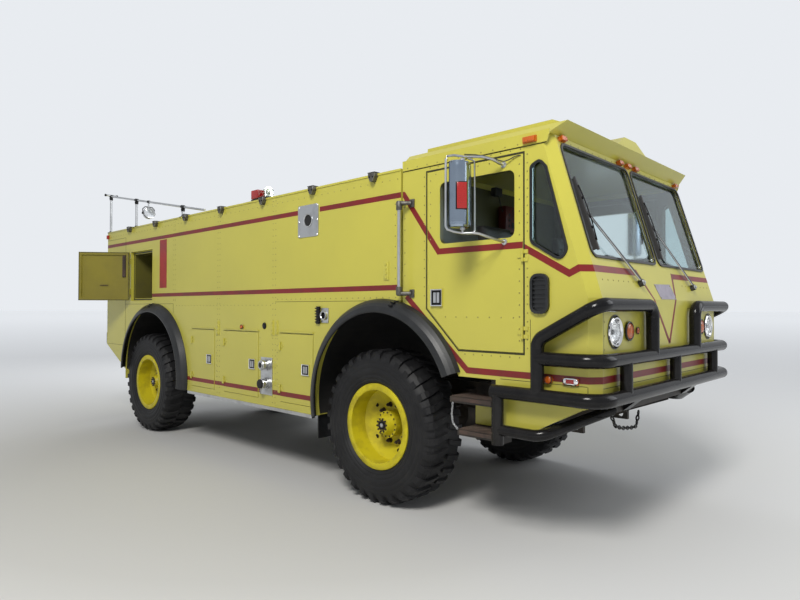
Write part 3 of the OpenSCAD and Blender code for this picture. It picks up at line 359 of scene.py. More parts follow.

# %% [markdown]
# Inside, the cab is given painted shade: a dull dark olive. A mask on Object coordinates finds what lies behind
# the side walls, the rear wall, the leaning front and the slanted corners, and mixes that painted shade in.

# %% Painted shade inside the cab
def add_painted_inside_shade(finish, colour):
    """Mixes a darker colour, painted shade, into a finish wherever a part lies inside the cab."""
    tree = finish.node_tree
    shader = tree.nodes["Principled BSDF"]
    at = tree.nodes.new("ShaderNodeSeparateXYZ")
    tree.links.new(tree.nodes.new("ShaderNodeTexCoord").outputs["Object"], at.inputs[0])
    from_side = math_node(tree, "SUBTRACT", HALF_W, math_node(tree, "ABSOLUTE", at.outputs["Y"]))
    above = math_node(tree, "MAXIMUM", math_node(tree, "SUBTRACT", at.outputs["Z"], RAKE_Z), 0.0)
    lean = math_node(tree, "MULTIPLY", above, math.tan(RAKE))
    from_front = math_node(tree, "SUBTRACT", math_node(tree, "SUBTRACT", CAB_FRONT, lean), at.outputs["X"])
    from_corner = math_node(tree, "ADD", math_node(tree, "DIVIDE", from_front, CORNER_IN),
                            math_node(tree, "DIVIDE", from_side, CORNER_Y))
    painted_shade_mask = math_node(tree, "GREATER_THAN", from_side, 0.006)
    for value, least in ((from_front, 0.006), (from_corner, 1.12), (at.outputs["X"], 2.650),
                         (at.outputs["Z"], 1.420)):
        painted_shade_mask = math_node(tree, "MULTIPLY", painted_shade_mask, math_node(tree, "GREATER_THAN", value, least))
    painted_shade_mask = math_node(tree, "MULTIPLY", painted_shade_mask, math_node(tree, "LESS_THAN", at.outputs["Z"], 2.860))
    outside = shader.inputs["Base Color"].links[0].from_socket
    tree.links.new(blend_colour(tree, painted_shade_mask, outside, rgba(colour)), shader.inputs["Base Color"])


# Dark olive painted shade on every lime part inside the cab
add_painted_inside_shade(lime_paint, (0.085, 0.080, 0.030))

# %% [markdown]
# Rubber and vinyl are nearly black and rough. Lamp plastics have a clear coat, and glass passes
# light, with dust only in its colour and roughness.

# %% Rubbers, glass and lamps
tyre_rubber = finish_of("tyre_rubber", (0.008, 0.008, 0.009), 0.55, second=(0.013, 0.013, 0.014), dust=0.06,
                        dust_top=1.5, dust_colour=(0.10, 0.10, 0.10), fine=(240.0, 0.35), bump=0.6,
                        Specular_IOR_Level=0.3)
trim_rubber = finish_of("trim_rubber", (0.009, 0.010, 0.011), 0.36, second=(0.014, 0.015, 0.017), dust=0.07,
                        dust_top=2.2, dust_colour=(0.16, 0.15, 0.14), fine=(380.0, 0.2))
seat_vinyl = finish_of("seat_vinyl", (0.045, 0.043, 0.042), 0.46, dust=0.1, dust_top=3.0, fine=(900.0, 0.5),
                       bump=0.5, distance=0.001)
lamp_amber = finish_of("lamp_amber", (0.52, 0.110, 0.008), 0.16, second=(0.44, 0.085, 0.006), dust=0.10,
                       Coat_Weight=0.5)
lamp_red = finish_of("lamp_red", (0.36, 0.012, 0.010), 0.16, second=(0.28, 0.010, 0.008), dust=0.10,
                     Coat_Weight=0.5)
lamp_chrome = finish_of("lamp_chrome", (0.86, 0.86, 0.87), 0.08, metallic=1.0, second=(0.80, 0.80, 0.81),
                        dust=0.08, dust_top=2.2, fine=(100.0, 0.0))


def glass_of(title, colour, roughness):
    """Clear glass: plain transmission, with dust only in its roughness and colour."""
    made, tree, shader = new_material(title)
    dusty = place_group(tree, "road_dust", Base_Color=rgba(colour), Roughness=roughness, Amount=0.12,
                        Dust_Color=rgba((0.55, 0.54, 0.50)), Top_Height=3.4)
    tree.links.new(dusty.outputs["Color"], shader.inputs["Base Color"])
    tree.links.new(dusty.outputs["Roughness"], shader.inputs["Roughness"])
    set_inputs(shader, Transmission_Weight=1.0, IOR=1.45, Specular_IOR_Level=0.35, Coat_Weight=0.0)
    return made


window_glass = glass_of("window_glass", (0.62, 0.76, 0.78), 0.02)
lens_glass = glass_of("lens_glass", (0.97, 0.98, 0.98), 0.03)
print(len(bpy.data.materials), "materials")

# %% [markdown]
# ## Finishes on the CAD nodes
# Every node keeps its shape and gets the finish of its record slot, so a repaint in the library
# and this picture agree.

# %% Dress the CAD nodes
FINISH = {m.name: m for m in (lime_paint, wheel_paint, guard_black, chassis_black, machinery_grey, trim_rubber,
                              tyre_rubber, bright_metal, window_glass, cab_black, seat_vinyl, lamp_chrome,
                              lamp_amber, lamp_red)}
slot_of = {entry["node"]: entry["material_slot"] for entry in frame["record"]["subparts"]}
for name_, part in node.items():
    part.data.materials.clear()
    part.data.materials.append(FINISH[slot_of[name_]])
print("dressed", sorted(set(slot_of.values())))

# %% [markdown]
# ## Shapes from operators
# Each added piece starts as a bmesh: a box, a disc or a few points that operators extrude, spin and
# bevel. These helpers hold the steps that return often. Every one works in real metres, in place,
# so that the finished object sits at the origin.


# %% Shape helpers
def verts_of(geometry):
    return [g for g in geometry if isinstance(g, bmesh.types.BMVert)]


def edges_of(geometry):
    return [g for g in geometry if isinstance(g, bmesh.types.BMEdge)]


def faces_of(geometry):
    return [g for g in geometry if isinstance(g, bmesh.types.BMFace)]


def add_box(bm, a, b, bevel=0.0, segments=2, turn=None):
    """A box between two opposite corners, with rounded edges, turned about its middle."""
    low, high = (Vector([pick(p, q) for p, q in zip(a, b)]) for pick in (min, max))
    verts = bmesh.ops.create_cube(bm, size=1.0)["verts"]
    bmesh.ops.scale(bm, vec=high - low, verts=verts)
    if bevel:
        edges = list({e for v in verts for e in v.link_edges})
        verts = bmesh.ops.bevel(bm, geom=edges, offset=bevel, segments=segments, profile=0.5,
                                affect="EDGES", material=-1)["verts"]
    if turn is not None:
        bmesh.ops.transform(bm, matrix=turn.to_4x4(), verts=verts)
    bmesh.ops.translate(bm, vec=(low + high) / 2, verts=verts)
    return verts


def frame_at(centre, axis, towards=(0, 0, 1)):
    """A matrix whose Z points along axis at centre."""
    z = Vector(axis).normalized()
    side = Vector(towards).cross(z)
    x = side.normalized() if side.length > 1e-6 else Vector((1, 0, 0))
    made = Matrix((x, z.cross(x), z)).transposed().to_4x4()
    made.translation = Vector(centre)
    return made


def not_along(axis, limit, spare=(1, 0, 0)):
    """The upward direction, or a spare one where axis points up itself."""
    return (0, 0, 1) if abs(Vector(axis).normalized().z) < limit else spare


def add_rod(bm, a, b, r, sides=16, tip=None):
    """A round bar from a to b; tip is the radius at b."""
    a, b = Vector(a), Vector(b)
    place = frame_at((a + b) / 2, b - a, not_along(b - a, 0.99))
    return bmesh.ops.create_cone(bm, cap_ends=True, segments=sides, radius1=r,
                                 radius2=r if tip is None else tip,
                                 depth=(b - a).length, matrix=place)["verts"]


def add_turned(bm, profile, centre, axis, sides=48):
    """Spins a profile of (radius, along) round an axis through centre."""
    place = frame_at(centre, axis, not_along(axis, 0.99))
    line = [bm.verts.new(place @ Vector((r, 0, h))) for r, h in profile]
    edges = [bm.edges.new(pair) for pair in zip(line, line[1:])]
    bmesh.ops.spin(bm, geom=line + edges, cent=place.translation, axis=place.to_3x3() @ Vector((0, 0, 1)),
                   angle=math.tau, steps=sides, use_merge=True)
    bmesh.ops.remove_doubles(bm, verts=list({v for f in bm.faces for v in f.verts if f.is_valid}), dist=1e-6)


def there_and_back(profile, step):
    """A profile and the same one moved back along its axis, closed into a thin wall."""
    return profile + [(r, h - step) for r, h in reversed(profile)] + profile[:1]


def add_tube(bm, points, r, sides=12, closed=False):
    """A tube swept along points by extruding a ring from one to the next."""
    points = [Vector(p) for p in points]
    ring = None
    n = len(points)
    for i, p in enumerate(points):
        before = points[i - 1] if i or closed else p
        after = points[(i + 1) % n] if i + 1 < n or closed else p
        onward, behind = after - p, p - before
        along = onward.normalized() + behind.normalized() if onward.length and behind.length else after - before
        place = frame_at(p, along, not_along(along, 0.95))
        if ring is None:
            ring = first = bmesh.ops.create_circle(bm, segments=sides, radius=r, matrix=place,
                                                   cap_ends=False)["verts"]
            edges = list({e for v in ring for e in v.link_edges})
        else:
            made = bmesh.ops.extrude_edge_only(bm, edges=edges)["geom"]
            bmesh.ops.transform(bm, matrix=place @ last_place.inverted(), verts=verts_of(made))
            edges = edges_of(made)
        last_place = place
    if closed:
        bmesh.ops.bridge_loops(bm, edges=edges + list({e for v in first for e in v.link_edges
                                                      if all(w in first for w in e.verts)}))
    else:
        bmesh.ops.holes_fill(bm, edges=[e for e in bm.edges if e.is_boundary], sides=sides)


def add_link_chain(bm, points, wire=0.003, pitch=0.02, sides=5):
    """A chain along points: flat and upright links of round wire by turns, all of few faces."""
    points = [Vector(p) for p in points]
    lengths = [(b - a).length for a, b in zip(points, points[1:])]
    count = max(2, round(sum(lengths) / pitch))
    for i in range(count):
        want = sum(lengths) * (i + 0.5) / count
        for (a, b), size in zip(zip(points, points[1:]), lengths):
            if want <= size:
                break
            want -= size
        towards = (0, 1, 0) if abs((b - a).normalized().y) < 0.9 else (1, 0, 0)
        place = frame_at(a.lerp(b, min(1.0, want / size)), b - a, towards)
        place = place @ Matrix.Rotation(math.pi / 2 * (i % 2), 4, "Z")
        half, width = pitch * 0.62 - wire, pitch * 0.30
        turns = [math.tau * k / 8 for k in range(8)]
        loop = [place @ Vector((width * math.cos(t), 0, half * math.sin(t) * 1.35)) for t in turns]
        add_tube(bm, loop, wire, sides, closed=True)


def add_ribbon(bm, pairs, thick=0.0012):
    """A flat band through pairs of edge points, given a small thickness outwards."""
    edges = [bm.edges.new([bm.verts.new(p) for p in pairs[0]])]
    faces = []
    for pair in pairs[1:]:
        made = bmesh.ops.extrude_edge_only(bm, edges=edges)["geom"]
        edges = edges_of(made)
        faces += faces_of(made)
        for v, place in zip(verts_of(made), pair):
            v.co = Vector(place)
    bmesh.ops.recalc_face_normals(bm, faces=faces)
    bmesh.ops.solidify(bm, geom=faces, thickness=thick)


def extrude_through(bm, rings):
    """Extrudes one face through rings of corner points into a closed solid; returns its verts."""
    face = bm.faces.new([bm.verts.new(p) for p in rings[0]])
    verts = set(face.verts)
    for old, new in zip(rings, rings[1:]):
        face = faces_of(bmesh.ops.extrude_face_region(bm, geom=[face])["geom"])[0]
        for v in face.verts:
            v.co = new[min(range(len(old)), key=lambda i, v=v: (old[i] - v.co).length)]
        verts |= set(face.verts)
    return list(verts)


def repeat_round(bm, verts, centre, axis, count):
    """Repeats what verts carry, count times in all, evenly round an axis."""
    edges = list({e for v in verts for e in v.link_edges})
    faces = list({f for v in verts for f in v.link_faces})
    bmesh.ops.spin(bm, geom=verts + edges + faces, cent=centre, axis=axis, angle=math.tau * (count - 1) / count,
                   steps=count - 1, use_duplicate=True)


def make_piece(title, bm, finish, body="root", smooth=None, recalc=True):
    """Turns a bmesh into a finished piece at the origin that rides on a CAD body."""
    if recalc:
        bmesh.ops.recalc_face_normals(bm, faces=bm.faces)
    data = bpy.data.meshes.new(title)
    bm.to_mesh(data)
    bm.free()
    made = bpy.data.objects.new(title, data)
    bpy.context.scene.collection.objects.link(made)
    for one in finish if isinstance(finish, (list, tuple)) else [finish]:
        data.materials.append(one)
    if smooth is not None:
        data.shade_smooth()
        data.set_sharp_from_angle(angle=math.radians(smooth))
    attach(made, body)
    print(title, len(data.polygons), "faces")
    return made


def turned_piece(title, profile, centre, axis, sides, finish, body="root", smooth=None):
    """A piece that is one spun profile."""
    bm = bmesh.new()
    add_turned(bm, profile, centre, axis, sides)
    return make_piece(title, bm, finish, body, smooth)


# %% [markdown]
# ## Red stripes
# The stripes are reflective tape about 47 mm wide. Each is a thin band of real thickness laid on
# the skin, mitred where it turns. It is built from pairs of edge points, so it can also run round
# the slanted cab corners.

# %% Stripe helpers
TAPE_W, TAPE_OFF = 0.047, 0.0006
TOP_STRIPE_Z, SIDE_STRIPE_Z, LOCKER_STRIPE_Z = 2.661, 1.884, 0.831
BODY_REAR, BODY_FRONT = -3.684, 2.610


def mitred(points, width):
    """Left and right edge points of a flat band along 2D points."""
    made = []
    for i, p in enumerate(points):
        p = Vector(p)
        into = (p - Vector(points[i - 1])).normalized() if i else (Vector(points[1]) - p).normalized()
        out_of = (Vector(points[i + 1]) - p).normalized() if i + 1 < len(points) else into
        normal = Vector((-(into + out_of).y, (into + out_of).x)).normalized()
        reach = width / 2 / max(0.3, normal.dot(Vector((-into.y, into.x))))
        made.append((p - normal * reach, p + normal * reach))
    return made


def lay_band(bm, place, pairs, off=TAPE_OFF, thick=0.0012):
    """A thin band on a surface through pairs of edge points (u, v)."""
    add_ribbon(bm, [(place(*a, off), place(*b, off)) for a, b in pairs], thick)


def upright_cut(a, b, x, width=TAPE_W):
    """The band from a to b cut off upright at x: its low and high corner points."""
    z = a[1] + (b[1] - a[1]) * (x - a[0]) / (b[0] - a[0])
    half = width / 2 * math.hypot(b[0] - a[0], b[1] - a[1]) / abs(b[0] - a[0])
    return (x, z - half), (x, z + half)


# %% [markdown]
# A stripe stops where the body has a plate, a door or a coupling. The part on a locker door is its
# own piece, because it swings away with the door.

# %% Body stripes
mark_red = finish_of("mark_red", (0.330, 0.016, 0.014), 0.38, second=(0.250, 0.014, 0.012), dust=0.06,
                     fine=(500.0, 0.01))
for side, s in SIDES.items():
    bm = bmesh.new()
    skin = on_side(s)
    # Where each stripe starts and stops: it leaves out the vent plate, the doors and the couplings
    top = [(BODY_REAR, 1.190), (1.533, BODY_FRONT)] if s < 0 else [(BODY_REAR, BODY_FRONT)]
    low = [(-1.092, -0.966), (-0.415, -0.206), (0.506, 0.552 if s < 0 else 0.899)] + [(0.767, 0.899)] * (s < 0)
    for z, runs in ((TOP_STRIPE_Z, top), (LOCKER_STRIPE_Z, low),
                    (SIDE_STRIPE_Z, [(-2.108, BODY_FRONT), (BODY_REAR, -2.818)])):
        for x0, x1 in runs:
            lay_band(bm, skin, mitred([(x0, z), (x1, z)], TAPE_W))
    make_piece(f"body_stripes_{side}", bm, stripe_red)
    if s < 0:
        bm = bmesh.new()
        lay_band(bm, skin, [((x, 1.978), (x, 2.626)) for x in (-1.882, -1.676)])
        make_piece("side_bar", bm, mark_red)
    for i, (rear, front) in enumerate(LOCKERS, 1):
        bm = bmesh.new()
        lay_band(bm, skin, [((x, LOCKER_STRIPE_Z - TAPE_W / 2), (x, LOCKER_STRIPE_Z + TAPE_W / 2))
                            for x in (rear + 0.002, front - 0.002)], 0.0046)
        make_piece(f"locker_stripe_{side}_{i}", bm, stripe_red, f"locker_door_{side}_{i}")

# %% [markdown]
# ### Cab stripes
# On the cab the tape drops along the wheel arch and steps up round the front, where it comes down
# to a point. The part on each door is its own piece, because it swings away with the door.

# %% Cab stripes
V_TAPE, FAR_TAPE = 0.034, 0.045
STRIPE_Z, LOW_Z = 1.975, 1.241
DOOR_REAR, DOOR_FRONT = 2.9056, 3.7885


def corner_points(z, s, off=TAPE_OFF):
    """The two plan corners of the cab's slanted edge at a height, moved outwards."""
    x = front_x(z)
    a, b = Vector((x - CORNER_IN, s * HALF_W)), Vector((x, s * (HALF_W - CORNER_Y)))
    side_n, front_n = Vector((0, s)), Vector((1, 0))
    slant = Vector((CORNER_Y, s * CORNER_IN)).normalized()
    a += (side_n + slant) * off / (1 + side_n.dot(slant))
    b += (front_n + slant) * off / (1 + front_n.dot(slant))
    return Vector((a.x, a.y, z)), Vector((b.x, b.y, z))


def on_face(y, z, off=TAPE_OFF):
    """A point on the cab's front at a height, on the upright or the leaning part."""
    if z <= RAKE_Z:
        return on_front(y, z, off)
    return on_screen(y, (z - RAKE_Z) / math.cos(RAKE), off)


def round_corner(z, width, s, y_end):
    """Edge pairs of a level band round the slanted corner, up to a place on the front."""
    low, high = z - width / 2, z + width / 2
    corner = list(zip(corner_points(low, s), corner_points(high, s)))
    return corner + [(on_face(y_end, low), on_face(y_end, high))]


def on_skin(skin, pairs):
    return [(skin(*a, TAPE_OFF), skin(*b, TAPE_OFF)) for a, b in pairs]


for side, s in SIDES.items():
    skin = on_side(s)
    bm = bmesh.new()
    edge = [((2.6325, TOP_STRIPE_Z - TAPE_W / 2), (2.6325, TOP_STRIPE_Z + TAPE_W / 2))]
    lay_band(bm, skin, edge + [upright_cut((2.640, TOP_STRIPE_Z), (2.909, 2.301), x) for x in (2.656, 2.9006)])
    arch_run = [(2.672, 1.810), (3.302, LOW_Z), (4.0, LOW_Z)]
    add_ribbon(bm, on_skin(skin, mitred(arch_run, TAPE_W)) + round_corner(LOW_Z, TAPE_W, s, 0.0))
    brow_run = [(3.796, 2.138), (4.143, 1.942), (4.213, 1.972)]
    brow = [upright_cut(brow_run[0], brow_run[1], brow_run[0][0])] + mitred(brow_run, TAPE_W)[1:2]
    narrow, y_end = (TAPE_W, -0.470) if s < 0 else (FAR_TAPE, 0.250)
    add_ribbon(bm, on_skin(skin, brow) + round_corner(STRIPE_Z, narrow, s, y_end))
    make_piece(f"cab_stripes_{side}", bm, stripe_red)
    bm = bmesh.new()
    door_run = [(DOOR_REAR, 2.3055), (3.018, 2.158), (DOOR_FRONT, 2.156)]
    lay_band(bm, skin, [upright_cut(door_run[0], door_run[1], DOOR_REAR)] + mitred(door_run, TAPE_W)[1:])
    make_piece(f"door_stripe_{side}", bm, stripe_red, f"cab_door_{side}")

bm = bmesh.new()
tip = (0.030, 1.440)
for top in ((-0.480, STRIPE_Z + 0.012), (0.262, STRIPE_Z + 0.020)):
    share = (RAKE_Z - tip[1]) / (top[1] - tip[1])
    bend = (tip[0] + (top[0] - tip[0]) * share, RAKE_Z)
    low_end, middle, high_end = mitred([tip, bend, top], V_TAPE)
    add_ribbon(bm, [[on_face(*p) for p in low_end], [on_front(p.x, RAKE_Z, TAPE_OFF) for p in middle],
                    [on_face(*p) for p in high_end]])
make_piece("front_chevron", bm, stripe_red)

# %% [markdown]
# ## Seams and rivets
# The body is sheet on a frame: lap joints run up and down it, with a row of rivets beside each.
# A joint is a low strip of the same sheet, and a rivet a dome of few faces, because there are
# hundreds of them.

# %% Seam and rivet helpers
RIVET_R, RIVET_H = 0.0065, 0.0028


def add_rivet(bm, at, normal, r=RIVET_R):
    """A low dome: a disc whose middle is pulled out."""
    place = frame_at(at, normal, not_along(normal, 0.9))
    ring = bmesh.ops.create_circle(bm, cap_ends=False, segments=8, radius=r, matrix=place)["verts"]
    edges = list({e for v in ring for e in v.link_edges})
    made = bmesh.ops.extrude_edge_only(bm, edges=edges)["geom"]
    push = Vector(normal).normalized() * RIVET_H
    for v in verts_of(made):
        v.co = Vector(at) + (v.co - Vector(at)) * 0.6 + push
    bmesh.ops.contextual_create(bm, geom=edges_of(made))
    bmesh.ops.contextual_create(bm, geom=edges)


def rivet_row(bm, place, a, b, pitch=0.062, off=0.0, inset=0.03):
    """Rivets along a line between two surface points (u, v), with place giving the 3D point."""
    a, b = Vector(a), Vector(b)
    length = (b - a).length
    count = max(2, round((length - 2 * inset) / pitch) + 1)
    for i in range(count):
        p = a.lerp(b, (inset + (length - 2 * inset) * i / (count - 1)) / length)
        at = place(p.x, p.y, off)
        add_rivet(bm, at, place(p.x, p.y, off + 0.01) - at)


def rivet_rows(bm, place, level=(), upright=()):
    """Rows (v, u0, u1, pitch) along a surface and rows (u, v0, v1, pitch) up it."""
    for v, u0, u1, pitch in level:
        rivet_row(bm, place, (u0, v), (u1, v), pitch)
    for u, v0, v1, pitch in upright:
        rivet_row(bm, place, (u, v0), (u, v1), pitch)


def lap_strip(bm, place, a, b, width=0.036, thick=0.0022):
    lay_band(bm, place, mitred([a, b], width), 0.0002, thick)


def groove(bm, place, corners, width=0.004):
    """A dark joint line round a panel, as a very thin band."""
    for pair in zip(corners, corners[1:]):
        lay_band(bm, place, mitred(pair, width), 0.0003)


# %% [markdown]
# The body's sides have three upright lap joints, rows of rivets and a few flush joints.

# %% Body seams and rivets
def mitred_edges(corners, width):
    """The sides of a closed band along corners, each as its two end pairs."""
    ring = mitred([corners[-1]] + list(corners) + [corners[0]], width)[1:-1]
    return list(zip(ring, ring[1:] + ring[:1]))


# Dark colour of joints and seals; under the roof plate the same line is a painted shadow
joint_and_shadow_line = finish_of("joint_and_shadow_line", (0.030, 0.028, 0.010), 0.8, dust=0.1, fine=(200.0, 0.0))
# Rivet heads are darker than the sheet round them: painted shade, so that each one shows
rivet_painted_shade = finish_of("rivet_painted_shade", (0.300, 0.268, 0.055), 0.42, second=(0.235, 0.205, 0.045),
                        mottle=(9.0, 0.4, 0.6), dust=0.2, fine=(300.0, 0.05))
UPRIGHT_SEAMS, SEAM_TOP = (-1.453, -0.335, 0.786), 2.862
PANEL_X = -3.0
for side, s in SIDES.items():
    skin = on_side(s)
    seams, dots, lines = bmesh.new(), bmesh.new(), bmesh.new()
    for x in UPRIGHT_SEAMS:
        foot = 1.775 if x < -1.4 else 0.690
        lap_strip(seams, skin, (x, foot), (x, 2.630))
        lap_strip(seams, skin, (x, 2.692), (x, SEAM_TOP))
        for u in (x - 0.024, x + 0.024):
            rivet_rows(dots, skin, upright=((u, foot, 1.850, 0.062), (u, 1.918, 2.626, 0.062),
                                            (u, 2.696, SEAM_TOP, 0.05)))
    # Rows along the top, above the arches, beside the rear corner, beside the cab and by the lockers
    rivet_rows(dots, skin, ((2.800, -3.67, 2.60, 0.092), (1.740, -1.42, 0.75, 0.078),
                            (1.800, 0.82, 2.58, 0.078)),
               ((2.585, 1.93, 2.62, 0.085), (2.545, 1.93, 2.62, 0.085), (-3.655, 1.94, 2.62, 0.085),
                (-3.655, 1.20, 1.84, 0.085), (-0.380, 0.87, 1.42, 0.07), (0.5285, 0.87, 1.42, 0.07),
                (0.845, 0.87, 1.42, 0.07)))
    # Flush joints: the sheet over the front arch, the panels over the rear arch and at the corner
    for corners in ([(0.806, 1.774), (2.606, 1.774)], [(PANEL_X, 1.765), (-1.480, 1.765), (-1.480, 1.640)],
                    [(PANEL_X, 2.745), (PANEL_X, 1.150)], [(-3.680, 2.750), (PANEL_X, 2.750)],
                    [(-3.680, 1.160), (PANEL_X, 1.160)]):
        groove(lines, skin, corners)
    make_piece(f"body_seams_{side}", seams, lime_paint)
    make_piece(f"body_rivets_{side}", dots, rivet_painted_shade, recalc=False)
    make_piece(f"body_joints_{side}", lines, joint_and_shadow_line)

# %% [markdown]
# The cab, its doors, the front and the rear face carry their own rows.

# %% Cab seams and rivets
DOOR_OUTLINE = [(2.8935, 2.8095), (2.8935, 1.7055), (3.2205, 1.3865), (3.7985, 1.3865), (3.7985, 2.8095)]
for side, s in SIDES.items():
    skin = on_side(s)
    dots, lines = bmesh.new(), bmesh.new()
    rivet_rows(dots, skin, ((2.880, 2.66, 3.92, 0.11), (1.362, 3.25, 3.79, 0.075), (2.835, 2.90, 3.80, 0.085)),
               ((2.655, 1.95, 2.58, 0.10), (2.870, 1.78, 2.28, 0.075), (2.870, 2.36, 2.80, 0.075),
                (3.825, 2.22, 2.82, 0.062), (3.825, 1.40, 2.08, 0.062)))
    make_piece(f"cab_rivets_{side}", dots, rivet_painted_shade, recalc=False)
    for corners in ([(3.848, 1.300), (3.848, 1.632)], [(4.272, 1.106), (4.272, 1.200)],
                    [(3.60, 1.200), (4.268, 1.200)]):
        groove(lines, skin, corners)
    # Rubber shows as a black line round each door
    for pair in mitred_edges(DOOR_OUTLINE, 0.011):
        lay_band(lines, skin, pair, 0.0009, 0.0006)
    make_piece(f"cab_joints_{side}", lines, joint_and_shadow_line)
    dots = bmesh.new()
    rivet_rows(dots, skin, ((1.642, 3.06, 3.74, 0.105), (2.775, 2.96, 3.74, 0.10)),
               ((3.760, 1.45, 2.10, 0.08), (3.760, 2.20, 2.76, 0.08), (2.935, 2.23, 2.76, 0.09)))
    make_piece(f"door_rivets_{side}", dots, rivet_painted_shade, f"cab_door_{side}", recalc=False)

# %% [markdown]
# Both end faces have rows near their edges, and dark lines show where their panels meet.

# %% Front and rear rivets
def on_rear(y, z, out=0.0):
    """Places (y, z, out) on the body's rear face."""
    return Vector((BODY_REAR - out, y, z))


dots, lines = bmesh.new(), bmesh.new()
rivet_rows(dots, on_face, ((1.902, -1.12, -0.56, 0.09), (1.902, 0.40, 1.12, 0.09), (2.880, -1.10, 1.10, 0.11)),
           [(y, 1.32, 1.74, 0.085) for y in (-1.145, 1.145)])
for s in (-1, 1):
    y0, y1 = s * 1.155, s * 0.449
    groove(lines, on_front, [(y0, 1.384), (y1, 1.384), (y1, 1.712), (y0, 1.712), (y0, 1.384)])
groove(lines, on_front, [(-1.16, 1.186), (1.16, 1.186)])
make_piece("front_rivets", dots, rivet_painted_shade, recalc=False)
make_piece("front_joints", lines, joint_and_shadow_line)
dots = bmesh.new()
rivet_rows(dots, on_rear, [(z, -1.18, 1.18, 0.09) for z in (2.845, 1.18)],
           [(y, 1.20, 2.84, 0.085) for y in (-1.215, -0.60, 0.60, 1.215)])
make_piece("rear_rivets", dots, rivet_painted_shade, recalc=False)

# %% [markdown]
# ## Latches
# The lockers and the cab doors have paddle latches: a black dished tray with a chrome paddle in it.


# %% Latches
def add_latch(title, place, x, z, body, w=0.114, h=0.110, off=0.012):
    """A paddle latch: a bright rim, a black tray and a folded paddle in it."""
    rim, tray, paddle = bmesh.new(), bmesh.new(), bmesh.new()
    out = place(0, 0, 1) - place(0, 0, 0)
    add_box(rim, place(x - w / 2, z - h / 2, off), place(x + w / 2, z + h / 2, off + 0.004))
    face = max(rim.faces, key=lambda f: f.normal.dot(out))
    bmesh.ops.inset_region(rim, faces=[face], thickness=0.007)
    for v in face.verts:
        v.co -= out * 0.0032
    make_piece(f"{title}_rim", rim, lamp_chrome, body)
    add_box(tray, place(x - w / 2 + 0.008, z - h / 2 + 0.008, off),
            place(x + w / 2 - 0.008, z + h / 2 - 0.008, off + 0.0014))
    make_piece(f"{title}_tray", tray, guard_black, body)
    for dx, lift in ((-w * 0.13, 0.0042), (w * 0.16, 0.0026)):
        add_box(paddle, place(x + dx - w * 0.11, z - h * 0.30, off + 0.001),
                place(x + dx + w * 0.11, z + h * 0.30, off + lift), 0.0006)
    make_piece(f"{title}_paddle", paddle, bright_metal, body)


for side, s in SIDES.items():
    for i, (rear, front) in enumerate(LOCKERS, 1):
        add_latch(f"latch_{side}_{i}", on_side(s), front - 0.108, 1.1015, f"locker_door_{side}_{i}")
    add_latch(f"door_latch_{side}", on_side(s), 3.007, 1.7935, f"cab_door_{side}", 0.116, 0.134, 0.014)

# %% [markdown]
# ## Wheel wells and underside
# Sheets just inside the arches, sprayed black, make the wells dark as on the truck. Each is one
# edge extruded round the arch and given a thickness. Black sheet also covers the body's floor.

# %% Wells and underside
# Black undercoat; on the vent port the same black is painted shade
undercoat_and_shade_black = finish_of("undercoat_and_shade_black", (0.007, 0.007, 0.007), 0.7, second=(0.012, 0.011, 0.010), dust=0.12,
                       dust_top=1.2, dust_colour=(0.09, 0.08, 0.06), fine=(150.0, 0.3))
SKIRT, TUNNEL_Y, SHEET = 0.676, 0.560, 0.0008


def arch_sheet(bm, arch, more, inset, start, end, steps=40):
    """A sheet right across the truck, bent round an arch of (x, z, radius)."""
    x, z, r = arch[0], arch[1], arch[2] + more
    angles = [math.radians(start + (end - start) * k / steps) for k in range(steps + 1)]
    sides = (inset - HALF_W, HALF_W - inset)
    turns = [(r * math.cos(a), r * math.sin(a)) for a in angles]
    add_ribbon(bm, [[Vector((x + dx, y, z + dz)) for y in sides] for dx, dz in turns], SHEET)


bm = bmesh.new()
arch_sheet(bm, FRONT_ARCH, 0.0185, 0.0415, 22, 191)
arch_sheet(bm, REAR_ARCH, -0.0015, 0.014, 8.5, 180)
for side, s in SIDES.items():
    add_box(bm, (-1.060, s * TUNNEL_Y, SKIRT - 0.0020), (1.470, s * (HALF_W - 0.045), SKIRT - 0.0004))
    across = sorted((s * TUNNEL_Y, s * (HALF_W - 0.004)))
    add_ribbon(bm, [[Vector((x, y, z)) for y in across] for x, z in ((-3.682, 1.1486), (-2.984, 0.8110))],
               SHEET)
make_piece("well_sheets", bm, undercoat_and_shade_black)

# %% [markdown]
# Bolts hold each flare to the body, and a strap covers the joint in its middle.

# %% Flare bolts
for side, s in SIDES.items():
    skin = on_side(s)
    dots, strap = bmesh.new(), bmesh.new()
    for (cx, cz, r), start, end, middle in ((FRONT_ARCH, 26, 189, 78), (REAR_ARCH, -5, 175, 90)):
        for k in range(17):
            a = math.radians(start + (end - start) * k / 16)
            at = skin(cx + (r + 0.022) * math.cos(a), cz + (r + 0.022) * math.sin(a), 0.0082)
            add_rivet(dots, at, (0, s, 0), 0.0095)
        a = math.radians(middle)
        for out, more, deep in ((0.012, 0.028, 0.024), (0.045, 0.017, 0.046), (0.074, -0.010, 0.034)):
            at = skin(cx + (r + more) * math.cos(a), cz + (r + more) * math.sin(a), out)
            half = Vector((0.006, deep / 2, 0.020))
            add_box(strap, at - half, at + half, 0.002, 1, Matrix.Rotation(-a, 3, "Y"))
    make_piece(f"flare_bolts_{side}", dots, guard_black, recalc=False)
    make_piece(f"flare_straps_{side}", strap, guard_black)

# %% [markdown]
# ## Tyres
# These are wide single tyres for soft ground: a smooth carcass with moulded rings on its sidewall,
# and thick lugs that start at the middle of the tread, slant outwards and wrap over the shoulder.
# The carcass is a spun profile. One lug is extruded through a few stations, and spin repeats it.
# The tyre stands in for the plain CAD tyre and turns with its wheel.

